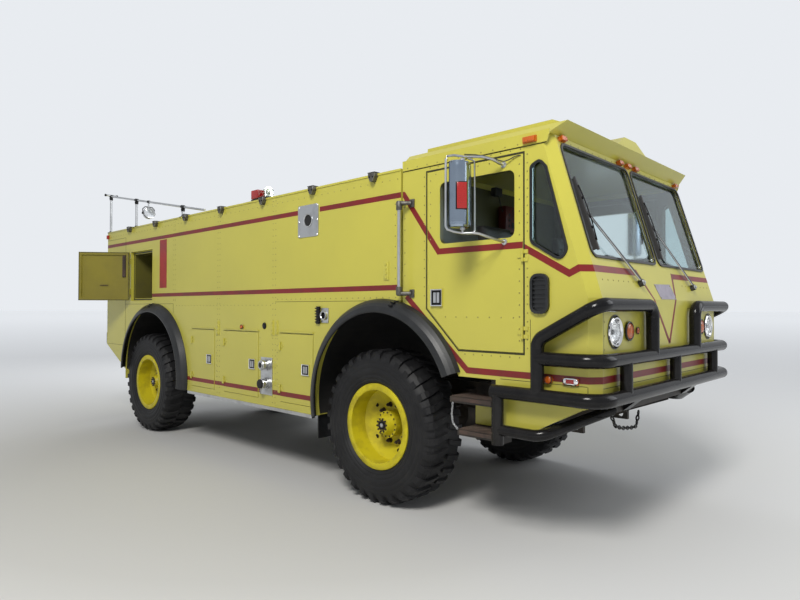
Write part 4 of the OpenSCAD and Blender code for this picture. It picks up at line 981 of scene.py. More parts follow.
# %% Tyre measures and lugs
LUGS, TREAD_R = 32, TYRE_R - 0.022
ACROSS = (0, 1, 0)
SIDEWALL = [(0.3345, 0.1755), (0.3725, 0.1755), (0.388, 0.192), (0.404, 0.203), (0.416, 0.2035),
            (0.421, 0.2085), (0.440, 0.2135), (0.452, 0.2120), (0.456, 0.2150), (0.480, 0.2185),
            (0.505, 0.2192), (0.509, 0.2172), (0.515, 0.2172), (0.519, 0.2190), (0.545, 0.2180),
            (0.552, 0.2150), (0.558, 0.2150), (0.564, 0.2165), (0.590, 0.2120), (0.596, 0.2085),
            (0.618, 0.1960), (0.634, 0.1780), (TREAD_R - 0.004, 0.1600), (TREAD_R, 0.1200)]
# Each station of a lug: its top's radius, its root's radius, place across, half its width, and its
# turn along the tread
LUG_STATIONS = [(TYRE_R, TREAD_R - 0.004, 0.010, 0.021, 0.0), (TYRE_R, TREAD_R - 0.004, 0.080, 0.024, 0.030),
                (TYRE_R - 0.0015, TREAD_R - 0.006, 0.150, 0.029, 0.052),
                (TYRE_R - 0.016, 0.622, 0.186, 0.032, 0.060),
                (0.6360, 0.596, 0.2120, 0.031, 0.066), (0.5990, 0.584, 0.2150, 0.027, 0.068)]
WHEELS = [(f"{end}_{side}", x, s) for end, x in (("front", AXLE_X), ("rear", -AXLE_X))
          for side, s in SIDES.items()]


def wheel_place(x, s):
    """Places (radius, angle, outboard) on a wheel."""
    return lambda r, a, out: Vector((x + r * math.sin(a), s * (TRACK_Y + out), TYRE_R + r * math.cos(a)))


def add_lugs(bm, x, s, outer, start):
    """A full row of lugs on one half of the tread."""
    at = wheel_place(x, s)
    rings = []
    for top, root, across, half, turn in LUG_STATIONS:
        a, out = start + turn, outer * across
        rings.append([at(top, a - half * 0.84 / top, out), at(top, a + half * 0.84 / top, out),
                      at(root, a + half / root, out), at(root, a - half / root, out)])
    repeat_round(bm, extrude_through(bm, rings), (x, s * TRACK_Y, TYRE_R), ACROSS, LUGS)


# %% [markdown]
# All four tyres are alike: the spun carcass and two rows of lugs, one on each half of the tread,
# shifted by half a lug.

# %% Build the tyres
for name, x, s in WHEELS:
    bm = bmesh.new()
    profile = SIDEWALL + [(r, -h) for r, h in reversed(SIDEWALL)]
    add_turned(bm, profile + profile[:1], (x, s * TRACK_Y, TYRE_R), ACROSS, 96)
    for outer, start in ((1, 0.0), (-1, math.pi / LUGS)):
        add_lugs(bm, x, s, outer, start)
    tyre = make_piece(f"tyre_dressed_{name}", bm, tyre_rubber, f"road_wheel_{name}", 32)
    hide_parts(f"tyre_{name}")

# %% [markdown]
# ## Wheels
# The pressed disc sits deep inside the rim. Its studs and nuts are bare and rusty, the hub's drive
# flange has its own ring of small bolts round a bright cap, and a valve stem comes out of the disc.

# %% Nuts, studs and valves
rusty_steel = finish_of("rusty_steel", (0.050, 0.030, 0.020), 0.62, metallic=0.35, second=(0.018, 0.013, 0.011),
                        mottle=(60.0, 0.4, 0.6), dust=0.1, fine=(300.0, 0.4))
NUTS, NUT_PCD, VALVE_R = 10, 0.170, 0.298
DISC_IN, HUB_FACE = 0.048, 0.1142
for name, x, s in WHEELS:
    at = wheel_place(x, s)
    body = f"road_wheel_{name}"
    centre, outwards = (x, s * TRACK_Y, TYRE_R), (0, s, 0)
    bm = bmesh.new()
    verts = []
    for foot, top, *sizes in ((0.0, 0.052, 0.0095, 10), (0.0, 0.036, 0.0185, 6),
                              (-0.001, 0.007, 0.026, 16, 0.022)):
        verts += add_rod(bm, at(NUT_PCD, math.pi / 2, foot - DISC_IN),
                         at(NUT_PCD, math.pi / 2, top - DISC_IN), *sizes)
    repeat_round(bm, verts, centre, ACROSS, NUTS)
    # Bolts round the drive flange's face and on the hub's shoulder
    for r, turn, foot, top, size, count in ((0.057, 0.2, HUB_FACE - 0.001, HUB_FACE + 0.010, 0.0085, 10),
                                            (0.1075, 0.1, 0.0545, 0.062, 0.0072, 14)):
        repeat_round(bm, add_rod(bm, at(r, turn, foot), at(r, turn, top), size, 6), centre, ACROSS, count)
    # Rust that has run round the flange
    add_turned(bm, [(0.040, HUB_FACE + 0.0004), (0.0405, HUB_FACE + 0.0042), (0.047, HUB_FACE + 0.0042),
                    (0.0475, HUB_FACE + 0.0004)], centre, outwards, 32)
    make_piece(f"wheel_nuts_{name}", bm, rusty_steel, body, smooth=30)
    cap = [(0.0005, 0.0130), (0.012, 0.0125), (0.0175, 0.010), (0.019, 0.0)]
    turned_piece(f"hub_cap_{name}", [(r, HUB_FACE + h) for r, h in cap], centre, outwards, 24, bright_metal,
                 body, 40)
    bm = bmesh.new()
    add_turned(bm, [(0.019, HUB_FACE + 0.0005), (0.020, HUB_FACE + 0.0060), (0.036, HUB_FACE + 0.0060),
                    (0.038, HUB_FACE + 0.0004)], centre, outwards, 32)
    add_tube(bm, [at(0.322, 0.5, -0.06), at(0.304, 0.5, -0.03), at(VALVE_R, 0.5, 0.03)], 0.0075, 8)
    add_rod(bm, at(VALVE_R, 0.5, 0.030), at(VALVE_R, 0.5, 0.046), 0.0095, 10)
    # Blank plugs fill the hand holes between the nuts
    repeat_round(bm, add_rod(bm, at(0.245, 0.31, -0.022), at(0.245, 0.31, -0.0165), 0.019, 14), centre,
                 ACROSS, 5)
    make_piece(f"hub_ring_{name}", bm, guard_black, body, smooth=35)
    rim = [(0.3185, 0.1900), (0.3260, 0.1936), (0.3700, 0.1936), (0.3760, 0.1890), (0.3765, 0.1770),
           (0.3725, 0.1760), (0.3725, 0.1897), (0.3185, 0.1897)]
    turned_piece(f"rim_ring_{name}", rim, centre, outwards, 96, wheel_paint, body, 40)

# %% [markdown]
# ## Headlamps
# A round sealed lamp has a chrome bezel, a mirror bowl with the bulb's shield in it, and a bulged
# glass lens with ribs. Each of these is a spun profile, so light really goes in and comes back.

# %% Headlamps
HEAD_Y, HEAD_Z, HEAD_R = 0.984, 1.552, 0.100
TURN_Y, SMALL_Y = 0.770, 0.620
AHEAD = (1, 0, 0)
bulb_shield_and_shadow = finish_of("bulb_shield_and_shadow", (0.10, 0.10, 0.105), 0.4, metallic=0.6, dust=0.0)
for side, s in SIDES.items():
    centre = Vector((CAB_FRONT, s * HEAD_Y, HEAD_Z))
    bezel = turned_piece(
        f"headlamp_bezel_{side}",
        [(HEAD_R - 0.018, -0.052), (HEAD_R - 0.018, 0.006), (HEAD_R - 0.012, 0.014), (HEAD_R - 0.002, 0.0155),
         (HEAD_R + 0.006, 0.011), (HEAD_R + 0.0085, 0.0005), (HEAD_R - 0.008, 0.0004), (HEAD_R - 0.008, -0.052),
         (HEAD_R - 0.018, -0.052)], centre, AHEAD, 56, lamp_chrome, smooth=35)
    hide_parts("headlamps")
    bowl = [(0.0005, -0.046), (0.030, -0.044), (0.055, -0.034), (0.074, -0.018), (HEAD_R - 0.0185, -0.002)]
    turned_piece(f"headlamp_bowl_{side}", there_and_back(bowl, 0.0015), centre, AHEAD, 48, lamp_chrome,
                 smooth=40)
    bm = bmesh.new()
    add_turned(bm, [(0.0005, -0.008), (0.014, -0.008), (0.018, -0.014), (0.018, -0.040), (0.0005, -0.040)],
               centre, AHEAD, 24)
    # A dark ring between the bezel and the sheet: painted shadow at their joint
    add_turned(bm, [(HEAD_R + 0.0080, 0.0006), (HEAD_R + 0.0150, 0.0010), (HEAD_R + 0.0155, 0.0040),
                    (HEAD_R + 0.0090, 0.0045)], centre, AHEAD, 56)
    make_piece(f"headlamp_shield_{side}", bm, bulb_shield_and_shadow, smooth=35)
    bm = bmesh.new()
    lens = [(0.0005, 0.0220), (0.030, 0.0200), (0.055, 0.0150), (0.072, 0.0090), (HEAD_R - 0.0185, 0.0040)]
    add_turned(bm, there_and_back(lens, 0.003), centre, AHEAD, 56)
    for k in range(-6, 7):
        y = k * 0.0125
        reach = math.sqrt(max(0.0, 0.080 ** 2 - y ** 2)) * 0.80
        lift = 0.0160 - 0.0160 * (y / 0.083) ** 2
        add_rod(bm, *(centre + Vector((lift, y, z)) for z in (-reach, reach)), 0.0022, 6)
    make_piece(f"headlamp_lens_{side}", bm, lens_glass, smooth=35)

# %% [markdown]
# ## Amber and red lamps
# The lamps have ribbed lenses in a rim. The CAD lamps stay where they are, and a lens is added over
# each, so that it catches light as moulded plastic does.


# %% Lens helpers
def add_dome(bm, centre, axis, r, height, rings=4, sides=32):
    """A bulged round lens."""
    turns = [k * math.pi / 2 / rings for k in range(rings + 1)]
    profile = [(max(0.0004, r * math.sin(t)), height * math.cos(t)) for t in turns]
    add_turned(bm, profile + [(r, -0.0005)], centre, axis, sides)


def round_lamp(title, centre, axis, r, height, rim):
    """A round amber lamp: a rubber rim and a domed, ringed lens."""
    turned_piece(f"{title}_rim", [(r, 0.0), (r + rim, 0.0), (r + rim, height * 0.45),
                                  (r + rim * 0.4, height * 0.6),
                                  (r, height * 0.5), (r, 0.0)], centre, axis, 32, trim_rubber, smooth=35)
    bm = bmesh.new()
    add_dome(bm, centre, axis, r - 0.0005, height)
    for k in (0.35, 0.62, 0.86):
        ring_h = height * math.sqrt(1 - k * k) + 0.0002
        foot = (r * k - 0.002, ring_h - 0.001)
        add_turned(bm, [foot, (r * k, ring_h + 0.0012), (r * k + 0.002, ring_h - 0.001), foot], centre, axis,
                   32)
    make_piece(f"{title}_lens", bm, lamp_amber, smooth=40)


def lens_block(title, place, u, v, w, h, off, deep, finish, ribs=5):
    """A rectangular clearance lamp: a bevelled lens with upright ribs."""
    bm = bmesh.new()
    here = place(u, v, 0)
    turn = Matrix((place(u + 1, v, 0) - here, place(u, v + 1, 0) - here, place(u, v, 1) - here)).transposed()
    verts = add_box(bm, (-w / 2, -h / 2, -deep / 2), (w / 2, h / 2, deep / 2), 0.0035)
    for k in range(ribs):
        x = (k - (ribs - 1) / 2) * w * 0.8 / ribs
        verts += add_rod(bm, (x, -h * 0.34, deep / 2 - 0.001), (x, h * 0.34, deep / 2 - 0.001),
                         w * 0.28 / ribs, 8)
    place_at = Matrix.Translation(place(u, v, off + deep / 2)) @ turn.to_4x4()
    bmesh.ops.transform(bm, matrix=place_at, verts=list(set(verts)))
    make_piece(title, bm, finish, smooth=35)


# %% [markdown]
# Amber lamps stand beside the headlamps and on the sides, and each corner of the cab has a chrome
# oval with a red lens.

# %% Lamps on the lower front and sides
for side, s in SIDES.items():
    skin = on_side(s)
    round_lamp(f"turn_lamp_{side}", (CAB_FRONT + 0.0082, s * TURN_Y, HEAD_Z), AHEAD, 0.058, 0.018, 0.010)
    round_lamp(f"small_lamp_{side}", (CAB_FRONT + 0.0072, s * SMALL_Y, HEAD_Z), AHEAD, 0.023, 0.009, 0.004)
    round_lamp(f"side_lamp_{side}", skin(3.995, 1.228, 0.0202), (0, s, 0), 0.026, 0.010, 0.004)
    # Chrome oval with a red lens on the cab's corner
    bm = bmesh.new()
    for x in (4.121, 4.189):
        add_turned(bm, [(0.0005, 0.004), (0.018, 0.004), (0.022, 0.0015), (0.022, -0.003)],
                   skin(x, 1.228, 0.0162), (0, s, 0), 24)
    add_box(bm, skin(4.121, 1.206, 0.0132), skin(4.189, 1.250, 0.0202), 0.002)
    make_piece(f"corner_lamp_rim_{side}", bm, lamp_chrome, smooth=35)
    bm = bmesh.new()
    add_box(bm, skin(4.128, 1.2145, 0.018), skin(4.182, 1.2415, 0.0245), 0.0025)
    make_piece(f"corner_lamp_lens_{side}", bm, lamp_red, smooth=35)

# %% [markdown]
# Five clearance lamps sit under the brow. The others are on the roof's sides, on the body and on
# its rear face.

# %% Lamps under the brow, on the sides and at the rear
for i, y in enumerate((-1.100, -0.155, 0.0, 0.155, 1.100)):
    lens_block(f"brow_lamp_{i}", on_screen, y, 1.155, 0.070, 0.034, 0.0205, 0.016, lamp_amber)
for side, s in SIDES.items():
    lens_block(f"roof_lamp_{side}", on_side(s), 3.8525, 2.884, 0.094, 0.038, 0.0222, 0.014, lamp_amber)
    round_lamp(f"body_marker_{side}", on_side(s)(0.182, 1.500, 0.0142), (0, s, 0), 0.022, 0.010, 0.004)
for side, s in SIDES.items():
    for k, (finish, z) in enumerate(((lamp_red, 1.740), (lamp_amber, 1.680), (lens_glass, 1.620))):
        lens_block(f"rear_lamp_{side}_{k}", on_rear, s * 1.080, z, 0.084, 0.052, 0.0302, 0.008, finish, 6)

# %% [markdown]
# ## Mirrors
# The mirror head is a polished shell with a dark back plate, a glass face that looks to the rear, and a red
# reflector let into its outer edge. Its chrome is tinted blue, a painted reflection of sky. It hangs on two
# bent tubes fixed to the door.

# %% Mirrors
mirror_face = finish_of("mirror_face", (0.78, 0.80, 0.82), 0.03, metallic=1.0, second=(0.76, 0.78, 0.80),
                        dust=0.05, dust_top=4.0, fine=(10.0, 0.0))
# Chrome tinted blue: a painted reflection of sky
mirror_shell_sky_tint = finish_of("mirror_shell_sky_tint", (0.34, 0.41, 0.50), 0.16, metallic=1.0, second=(0.30, 0.37, 0.46),
                         dust=0.05, dust_top=4.0, fine=(90.0, 0.02))
MIRROR_X, MIRROR_Y, MIRROR_Z = 3.464, 1.520, (2.276, 2.752)
SHELL_DEEP, SHELL_HALF = 0.098, 0.092
ARM_TOP, ARM_FOOT = 2.745, 2.188
for side, s in SIDES.items():
    body = f"cab_door_{side}"

    def shell_at(t, z, shrink=1.0, s=s):
        """A point of the shell's bulged section: t is the angle from its nose, z the height."""
        x = MIRROR_X - 0.048 + SHELL_DEEP * shrink * max(0.0, math.cos(t)) ** 0.72
        return Vector((x, s * (MIRROR_Y + SHELL_HALF * shrink * math.sin(t)), z))

    def by_mirror(points, s=s):
        """Points given as (x, y, z) from the mirror's middle line, y outwards."""
        return [(MIRROR_X + x, s * (MIRROR_Y + y), z) for x, y, z in points]

    # The bulged shell is one section extruded up through stations that draw in at both ends
    bm = bmesh.new()
    turns = [math.pi / 2 * (k / 12 - 1) for k in range(25)]
    low, high = MIRROR_Z
    stations = [(low, 0.80), (low + 0.006, 0.92), (low + 0.020, 0.985), (low + 0.040, 1.0), (high - 0.040, 1.0),
                (high - 0.020, 0.985), (high - 0.006, 0.92), (high, 0.80)]
    extrude_through(bm, [[shell_at(t, z, k) for t in turns] for z, k in stations])
    # Both arms are bent tubes between the head and the door
    for points in ([(3.630, 1.2505, ARM_TOP), (3.622, 1.295, 2.750), (3.598, 1.345, 2.774),
                    (3.560, 1.420, 2.784), (MIRROR_X, MIRROR_Y, 2.785), (MIRROR_X, MIRROR_Y, ARM_TOP)],
                   [(3.636, 1.2505, ARM_FOOT), (3.634, 1.300, 2.190), (3.556, 1.455, 2.236),
                    (3.530, 1.485, 2.239), (MIRROR_X, MIRROR_Y, 2.240), (MIRROR_X, MIRROR_Y, 2.285)]):
        add_tube(bm, [(x, s * y, z) for x, y, z in points], 0.0098, 14)
    shell = make_piece(f"mirror_shell_sky_tint_{side}", bm, [mirror_shell_sky_tint, bright_metal], body, smooth=38)
    for face in shell.data.polygons:
        if not low - 0.001 < face.center.z < high + 0.001 or abs(face.center.y) < MIRROR_Y - 0.094:
            face.material_index = 1
    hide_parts(f"mirrors_{side}")
    bm = bmesh.new()
    middle = s * MIRROR_Y
    add_box(bm, (MIRROR_X - 0.0515, middle - 0.078, low + 0.022),
            (MIRROR_X - 0.0485, middle + 0.078, high - 0.022), 0.0008)
    make_piece(f"mirror_glass_{side}", bm, mirror_face, body)
    bm = bmesh.new()
    x0, x1 = MIRROR_X - 0.0535, MIRROR_X - 0.046
    for z in (low + 0.008, high - 0.020):
        add_box(bm, (x0, middle - 0.090, z), (x1, middle + 0.090, z + 0.012), 0.002)
    for y in (middle - 0.090, middle + 0.078):
        add_box(bm, (x0, y, low + 0.008), (x1, y + 0.012, high - 0.008), 0.002)
    make_piece(f"mirror_frame_{side}", bm, guard_black, body, smooth=35)
    # The red reflector sits on the outer front of the shell, where traffic sees it
    place = shell_at(math.radians(36), 2.4975)
    turn = Matrix.Rotation(-s * math.radians(-44.0), 3, "Z")
    bm, rim = bmesh.new(), bmesh.new()
    add_box(rim, place - Vector((0.012, 0.041, 0.098)), place + Vector((0.004, 0.041, 0.098)), 0.002, 2, turn)
    add_box(bm, place - Vector((0.010, 0.035, 0.092)), place + Vector((0.0075, 0.035, 0.092)), 0.002, 2, turn)
    for k in range(11):
        rib = place + turn @ Vector((0.0080, 0, -0.0782 + k * 0.016))
        half = Vector((0.001, 0.032, 0.0058))
        add_box(bm, rib - half, rib + half, 0.0006, 1, turn)
    make_piece(f"mirror_reflector_{side}", bm, lamp_red, body, smooth=35)
    make_piece(f"reflector_rim_{side}", rim, guard_black, body, smooth=35)
    # A loop of tube stands round the head
    bm = bmesh.new()
    add_tube(bm, by_mirror([(0, 0, 2.786), (-0.030, 0.060, 2.788), (-0.055, 0.104, 2.778),
                            (-0.062, 0.112, 2.755), (-0.062, 0.112, 2.285), (-0.055, 0.104, 2.262),
                            (-0.030, 0.060, 2.248), (0, 0, 2.240)]), 0.0085, 12)
    add_tube(bm, by_mirror([(0.004, -0.060, 2.782), (0.020, -0.108, 2.770), (0.022, -0.114, 2.745),
                            (0.022, -0.114, 2.270),
                            (0.018, -0.104, 2.246), (0.002, -0.050, 2.240)]), 0.0065, 12)
    make_piece(f"mirror_loop_{side}", bm, bright_metal, body, smooth=50)
    bm = bmesh.new()
    for x, z in ((3.630, ARM_TOP), (3.636, ARM_FOOT)):
        add_turned(bm, [(0.0005, 0.009), (0.012, 0.009), (0.022, 0.006), (0.024, 0.0005)], (x, s * HALF_W, z),
                   (0, s, 0), 20)
    for z in (low - 0.012, high + 0.002):
        add_rod(bm, (MIRROR_X, middle, z), (MIRROR_X, middle, z + 0.016), 0.018, 8)
    make_piece(f"mirror_clamps_{side}", bm, bright_metal, body, smooth=35)

# %% [markdown]
# The mirror is heated, so a thin black lead runs from its upper arm to the pillar. It belongs to
# the door as far as the hinge side, where it goes into a grommet.

# %% Mirror leads
LEAD = [(3.480, 1.520, 2.797), (3.520, 1.440, 2.802), (3.556, 1.380, 2.796), (3.590, 1.335, 2.786),
        (3.625, 1.300, 2.770), (3.650, 1.278, 2.762), (3.690, 1.266, 2.772), (3.720, 1.262, 2.785),
        (3.752, 1.258, 2.790), (3.772, 1.2515, 2.790)]
for side, s in SIDES.items():
    bm = bmesh.new()
    add_tube(bm, [(x, s * y, z) for x, y, z in LEAD], 0.0042, 8)
    make_piece(f"mirror_lead_{side}", bm, cab_black, f"cab_door_{side}", smooth=50)

# %% [markdown]
# ## Windscreen wipers
# The CAD wipers give the arm and blade their places. The pieces here are what makes them read as
# wipers: a pivot cap, a nut, the spring between two links, and a yoke that carries the blade.

# %% Wiper details
WIPERS = [((-0.482, 0.120), (-1.087, 0.602), (-1.106, 0.864), (-1.062, 0.335)),
          ((0.646, 0.116), (0.074, 0.625), (0.060, 0.900), (0.095, 0.340))]
bm, metal = bmesh.new(), bmesh.new()
for p, e, t, f in ([Vector(at) for at in wiper] for wiper in WIPERS):
    add_turned(metal, [(0.0005, 0.046), (0.010, 0.046), (0.013, 0.043), (0.013, 0.036), (0.019, 0.0345),
                       (0.026, 0.0325)],
               on_screen(*p), on_screen(0, 0, 1) - on_screen(0, 0), 24)
    aside = Vector((-(e - p).y, (e - p).x)).normalized() * 0.017
    add_rod(metal, on_screen(*(p.lerp(e, 0.06) + aside), 0.029),
            on_screen(*(p.lerp(e, 0.94) + aside * 0.4), 0.029), 0.0045, 8)
    for k in (0.14, 0.30, 0.70, 0.86):
        q = t.lerp(f, k)
        add_rod(bm, on_screen(*q, 0.0265), on_screen(*q, 0.0325), 0.011, 10)
    shares = [i / 12 for i in range(13)]
    add_tube(bm,
             [on_screen(*t.lerp(f, 0.12 + 0.76 * k), 0.0315 + 0.010 * math.sin(math.pi * k)) for k in shares],
             0.0045, 8)
make_piece("wiper_yokes", bm, guard_black, smooth=40)
make_piece("wiper_links", metal, bright_metal, smooth=35)

# %% [markdown]
# ## Fittings on the body's side
# Cast plates carry the locker hinges' stops, and a shore line socket sits in front of a slotted strip. The vent
# plate's port is a rolled rim round a flat black disc, painted shade for the hole's inside.

# %% Side fittings
OUT_RIGHT = (0, -1, 0)
SHORE_AT, VENT_AT, GROMMET_AT = ((x, -HALF_W, z) for x, z in ((1.6245, 1.640), (1.357, 2.571), (0.612, 1.521)))
for side, s in SIDES.items():
    skin = on_side(s)
    bm = bmesh.new()
    for x, z0, z1, w in ((-0.348, 1.395, 1.560, 0.060), (0.760, 1.426, 1.586, 0.044),
                         (0.835, 1.426, 1.586, 0.044), (2.440, 1.950, 2.110, 0.060)):
        add_box(bm, skin(x - w / 2, z0, 0.0), skin(x + w / 2, z1, 0.007), 0.0015)
        for k in range(4):
            z = z0 + 0.022 + k * (z1 - z0 - 0.044) / 3
            add_rod(bm, skin(x, z, 0.006), skin(x, z, 0.013), 0.011, 8)
    make_piece(f"cast_plates_{side}", bm, lime_paint, smooth=30)

skin = on_side(-1)
bm = bmesh.new()
add_box(bm, skin(1.506, 1.558, 0.020), skin(1.552, 1.726), 0.002)
for k in range(6):
    z = 1.570 + k * 0.026
    add_box(bm, skin(1.497, z, 0.028), skin(1.561, z + 0.013, 0.004), 0.002)
make_piece("slotted_strip", bm, guard_black, smooth=35)
bm = bmesh.new()
add_box(bm, skin(1.572, 1.570, 0.010), skin(1.677, 1.711), 0.003)
add_turned(bm, [(0.030, 0.030), (0.034, 0.034), (0.043, 0.034), (0.046, 0.028), (0.046, 0.008)], SHORE_AT,
           OUT_RIGHT, 32)
make_piece("shore_socket", bm, bright_metal, smooth=35)
bm = bmesh.new()
add_turned(bm, [(0.0005, 0.014), (0.030, 0.014), (0.0305, 0.029)], SHORE_AT, OUT_RIGHT, 32)
for a in range(3):
    pin = Vector(SHORE_AT) + Vector((0.015 * math.sin(a * 2.094), -0.020, 0.015 * math.cos(a * 2.094)))
    half = Vector((0.003, 0.006, 0.006))
    add_box(bm, pin - half, pin + half, 0.001)
add_turned(bm, [(0.0005, 0.010), (0.020, 0.010), (0.034, 0.007), (0.036, 0.0003)], GROMMET_AT, OUT_RIGHT, 28)
make_piece("socket_core_and_grommet", bm, guard_black, smooth=35)
turned_piece("vent_rim", [(0.062, -0.002), (0.0705, 0.010), (0.064, 0.013), (0.056, 0.008), (0.055, 0.0012)],
             VENT_AT, OUT_RIGHT, 48, bright_metal, smooth=40)
# A flat black disc inside the rim: painted shade for the port's depth
turned_piece("vent_hole_shade", [(0.0005, 0.0011), (0.056, 0.0012)], VENT_AT, OUT_RIGHT, 40, undercoat_and_shade_black)
bm = bmesh.new()
for xs, zs, r in (((1.214, 1.501), (2.425, 2.566, 2.707), 0.007),
                  ((0.574, 0.745), (0.812, 0.991, 1.170), 0.008)):
    for x in xs:
        for z in zs:
            add_rivet(bm, skin(x, z, 0.006), OUT_RIGHT, r)
make_piece("plate_screws", bm, bright_metal, recalc=False)

# %% [markdown]
# ## Hose couplings
# Each pipe ends in a swivel ring with lugs and a cap on a short chain. The lower cap is black.

# %% Couplings
COUPLING_X, COUPLINGS = 0.660, (1.111, 0.914)
bm, caps = bmesh.new(), bmesh.new()
for z in COUPLINGS:
    def round_ring(radius, turn, out, z=z):
        """A point round the coupling's axis."""
        return Vector((COUPLING_X + radius * math.sin(turn), -HALF_W - out, z + radius * math.cos(turn)))

    add_turned(bm, [(0.0385, 0.059), (0.050, 0.060), (0.053, 0.064), (0.053, 0.074), (0.049, 0.079),
                    (0.0385, 0.080)],
               (COUPLING_X, -HALF_W, z), OUT_RIGHT, 36)
    # Lugs of the ring and bolts of the flange
    for a in range(6):
        add_rod(bm, round_ring(0.053, a * 1.047, 0.064), round_ring(0.053, a * 1.047, 0.074), 0.007, 8)
    for a in range(8):
        add_rod(bm, round_ring(0.0555, a * 0.785, 0.0255), round_ring(0.0555, a * 0.785, 0.0325), 0.0055, 6)
make_piece("coupling_rings", bm, bright_metal, smooth=35)
for z, r, out in zip(COUPLINGS, (0.0355, 0.0480), (0.0870, 0.0955)):
    add_turned(caps, [(0.0005, out), (r * 0.5, out), (r, out - 0.0015), (r + 0.001, out - 0.006),
                      (r + 0.001, 0.0815), (0.0388, 0.0812)], (COUPLING_X, -HALF_W, z), OUT_RIGHT, 36)
make_piece("coupling_caps", caps, guard_black, smooth=35)
bm = bmesh.new()
add_link_chain(bm, [(0.617, -1.268, 0.872), (0.600, -1.290, 0.842), (0.622, -1.305, 0.812),
                    (0.660, -1.320, 0.838), (0.660, -1.335, 0.868)], 0.0036, 0.015)
make_piece("cap_chain", bm, bright_metal, smooth=50)

# %% [markdown]
# ## Steps, chains and the panel behind them
# The steps have rusty anti-slip treads. A chain hangs from the upper step, and a painted box shows
# behind the lower one.

# %% Steps
tread_rust = finish_of("tread_rust", (0.060, 0.032, 0.024), 0.70, second=(0.030, 0.019, 0.015),
                       mottle=(14.0, 0.4, 0.6), dust=0.25, fine=(150.0, 0.4), bump=0.6)
for side, s in SIDES.items():
    bm = bmesh.new()
    for x0, x1, z in ((3.143, 3.532, 1.0303), (3.218, 3.532, 0.7853)):
        for k in range(9):
            y = 1.240 - k * 0.0265
            add_box(bm, (x0, s * y, z), (x1, s * (y - 0.014), z + 0.0065), 0.0015, 1)
        add_box(bm, (x0 + 0.01, s * 1.2503, z - 0.032), (x1 - 0.01, s * 1.2535, z - 0.004), 0.001, 1)
    make_piece(f"step_treads_{side}", bm, tread_rust)
    bm = bmesh.new()
    add_box(bm, (3.230, s * 0.860, 0.800), (3.395, s * 1.055, 0.972), 0.012, 3)
    make_piece(f"step_box_{side}", bm, lime_paint, smooth=35)
    bm = bmesh.new()
    add_link_chain(bm, [(3.165, s * 1.252, 0.984), (3.158, s * 1.256, 0.900), (3.170, s * 1.256, 0.828),
                        (3.214, s * 1.252, 0.786)], 0.0042, 0.020, 6)
    make_piece(f"step_chain_{side}", bm, bright_metal, smooth=50)

# %% [markdown]
# ## Roof fittings
# Pipe clamps join the sloping rail to its posts, a hook and a yoke carry the searchlight, and the
# beacons are coloured glass over a dark base.

# %% Rail clamps and searchlight
RAIL_Y, RAIL_FOOT, RAIL_END, ROOF_Z = -HALF_W + 0.030, -0.730, -3.650, 2.878
UP = (0, 0, 1)


def rail_z(x):
    """Height of the sloping rail over the roof."""
    return ROOF_Z + 0.034 - (x - RAIL_FOOT) * 0.184


bm, feet = bmesh.new(), bmesh.new()
for x in (RAIL_END, -2.710, -1.294):
    z = rail_z(x)
    add_rod(bm, (x - 0.034, RAIL_Y, z + 0.0065), (x + 0.034, RAIL_Y, z - 0.0065), 0.0225, 16)
    add_rod(bm, (x, RAIL_Y, z - 0.060), (x, RAIL_Y, z - 0.006), 0.0235, 16)
    add_rod(bm, (x, RAIL_Y - 0.027, z - 0.036), (x, RAIL_Y + 0.027, z - 0.036), 0.006, 6)
    add_turned(feet, [(0.018, 0.0004), (0.046, 0.0004), (0.046, 0.006), (0.024, 0.008), (0.0215, 0.024),
                      (0.0172, 0.024)],
               (x, RAIL_Y - 0.0002, ROOF_Z), UP, 24)
make_piece("rail_clamps", bm, guard_black, smooth=40)
end_z = rail_z(RAIL_END) + 0.012
for y in (-0.095, 0.095):
    add_rod(feet, (RAIL_END, RAIL_Y + y * 0.80, end_z), (RAIL_END, RAIL_Y + y, end_z), 0.0185, 14)
make_piece("rail_feet", feet, guard_black, smooth=40)

SPOT_X, SPOT_DROP, SPOT_TILT = -2.310, 0.165, math.radians(14)
spot = Vector((SPOT_X, RAIL_Y, rail_z(SPOT_X) - SPOT_DROP))
spot_axis = Vector((math.cos(SPOT_TILT), 0, math.sin(SPOT_TILT)))
face_at = spot + spot_axis * 0.026
bm = bmesh.new()
add_turned(bm, [(0.0735, 0.0002), (0.0790, -0.001), (0.0805, 0.004), (0.0785, 0.009), (0.0735, 0.010),
                (0.0720, 0.0002)],
           face_at, spot_axis, 48)
add_turned(bm, [(0.0005, 0.0006), (0.020, 0.0008), (0.050, 0.0028), (0.072, 0.0062), (0.0725, 0.0070),
                (0.050, 0.0038), (0.020, 0.0016), (0.0005, 0.0014)], face_at, spot_axis, 40)
make_piece("searchlight_bowl", bm, lamp_chrome, smooth=40)
turned_piece("searchlight_lens", [(0.0005, 0.0145), (0.030, 0.0138), (0.055, 0.0115), (0.0725, 0.0078),
                                  (0.0725, 0.0072),
                                  (0.055, 0.0100), (0.030, 0.0118), (0.0005, 0.0124)], face_at, spot_axis, 40,
             lens_glass, smooth=50)
bm = bmesh.new()
hook = spot + Vector((0, 0, SPOT_DROP))
add_tube(bm, [spot + Vector((0, y, z)) for y, z in ((-0.083, 0), (-0.083, 0.060), (-0.050, 0.092),
                                                    (0.050, 0.092), (0.083, 0.060), (0.083, 0))], 0.0065, 10)
for s in (-1, 1):
    add_rod(bm, spot + Vector((0, s * 0.092, 0)), spot + Vector((0, s * 0.074, 0)), 0.014, 12)
add_rod(bm, hook + Vector((-0.020, 0, 0.0035)), hook + Vector((0.020, 0, -0.0035)), 0.0205, 16)
make_piece("searchlight_yoke", bm, guard_black, smooth=40)

# %% [markdown]
# The square beacon is red. The round one is clear, so its lamp and its turning mirror are modelled
# too.

